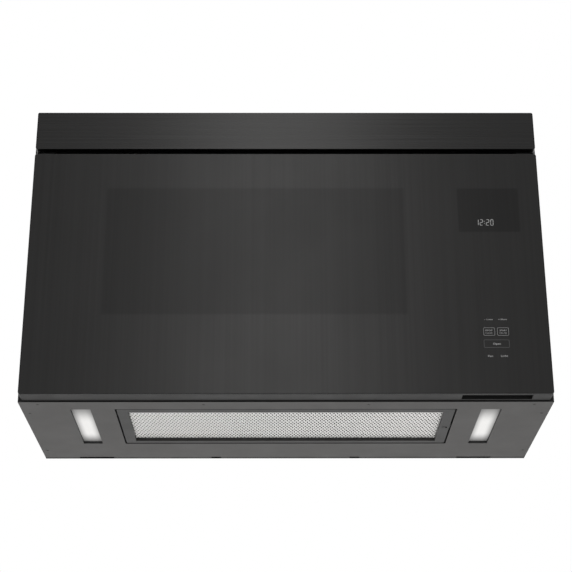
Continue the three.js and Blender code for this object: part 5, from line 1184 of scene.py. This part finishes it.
def seen_directly(owner):
    """1 for rays from the camera, a mirror or glass, and 0 for the light on matt things."""
    rays = add_node(owner, "ShaderNodeLightPath").outputs
    mirrored = math_of(owner, "MAXIMUM", rays["Is Camera Ray"], rays["Is Glossy Ray"])
    return math_of(owner, "MAXIMUM", mirrored, rays["Is Transmission Ray"])


def make_world():
    """White behind the part, also in its reflections, and an even soft light for the rest."""
    world = bpy.data.worlds.new("studio")
    world.use_nodes = True
    soft = world.node_tree.nodes["Background"]
    soft.inputs["Color"].default_value = WHITE
    soft.inputs["Strength"].default_value = WORLD_LEVEL
    white = add_node(world, "ShaderNodeBackground", {"Color": WHITE, "Strength": 1.0})
    both = mix_shaders(world, seen_directly(world), soft.outputs[0], white.outputs[0])
    surface = world.node_tree.nodes["World Output"].inputs["Surface"]
    world.node_tree.links.new(both, surface)
    bpy.context.scene.world = world


def make_floor_material():
    """Pale paper: partly lit as white for what looks at it, and clear when seen from below."""
    material = textured(
        "floor", grey("floor"), roughness=0.7, tone=0.02, patch=500 * MM, wear=0.0, relief=0.0
    )
    glow = add_node(material, "ShaderNodeEmission", {"Color": WHITE}).outputs[0]
    share = math_of(material, "MULTIPLY", seen_directly(material), FLOOR_GLOW)
    paper = mix_shaders(material, share, shader_of(material).outputs[0], glow)
    below = add_node(material, "ShaderNodeNewGeometry").outputs["Backfacing"]
    clear = add_node(material, "ShaderNodeBsdfTransparent").outputs[0]
    one_sided = mix_shaders(material, below, paper, clear)
    surface = material.node_tree.nodes["Material Output"].inputs["Surface"]
    material.node_tree.links.new(one_sided, surface)
    return material


def make_floor():
    shape = bmesh.new()
    bmesh.ops.create_circle(shape, cap_ends=True, segments=FLOOR_SIDES, radius=FLOOR_RADIUS)
    mesh = bpy.data.meshes.new("floor")
    shape.to_mesh(mesh)
    shape.free()
    mesh.materials.append(make_floor_material())
    floor = bpy.data.objects.new("floor", mesh)
    floor.location.z = FLOOR_Z
    bpy.context.scene.collection.objects.link(floor)


def make_softbox(name, place, target, size, power):
    """A rectangular lamp that faces the target and that the camera doesn't see."""
    lamp = bpy.data.lights.new(name, "AREA")
    lamp.shape = "RECTANGLE"
    lamp.size, lamp.size_y = size
    lamp.energy = power
    softbox = bpy.data.objects.new(name, lamp)
    softbox.location = place
    facing = Vector(target) - Vector(place)
    softbox.rotation_euler = facing.to_track_quat("-Z", "Y").to_euler()
    softbox.visible_camera = False
    bpy.context.scene.collection.objects.link(softbox)


def make_studio():
    make_floor()
    for name, (place, target, size, power) in SOFTBOXES.items():
        make_softbox(name, place, target, size, power)


def make_pieces(frame, materials):
    """Everything on the part that the CAD model leaves to this script."""
    door_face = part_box("door_glass")[0].y
    pale = textured("pale_print", grey("pale_print"), roughness=0.5, tone=0.02, wear=0.0)
    faint = textured("faint_print", grey("faint_print"), roughness=0.5, tone=0.02, wear=0.0)
    make_clock(pale, door_face)
    make_prints(pale, faint, door_face)
    make_underside_screws(materials["base_paint"])
    make_back_screws(materials["zinc_steel"])
    make_top_screws(materials["base_paint"])
    # The hem's near black is painted shade.
    make_rear_hem(textured("hem_shade", grey("hem"), roughness=0.6, wear=0.0))
    make_latch_spring(frame, materials["zinc_steel"])
    make_filter_weave(make_strand_material())


def main():
    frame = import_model()
    make_camera()
    make_world()
    make_studio()
    materials = make_materials()
    dress_nodes(frame, materials)
    make_pieces(frame, materials)
    bpy.context.scene.view_settings.view_transform = "Standard"


main()
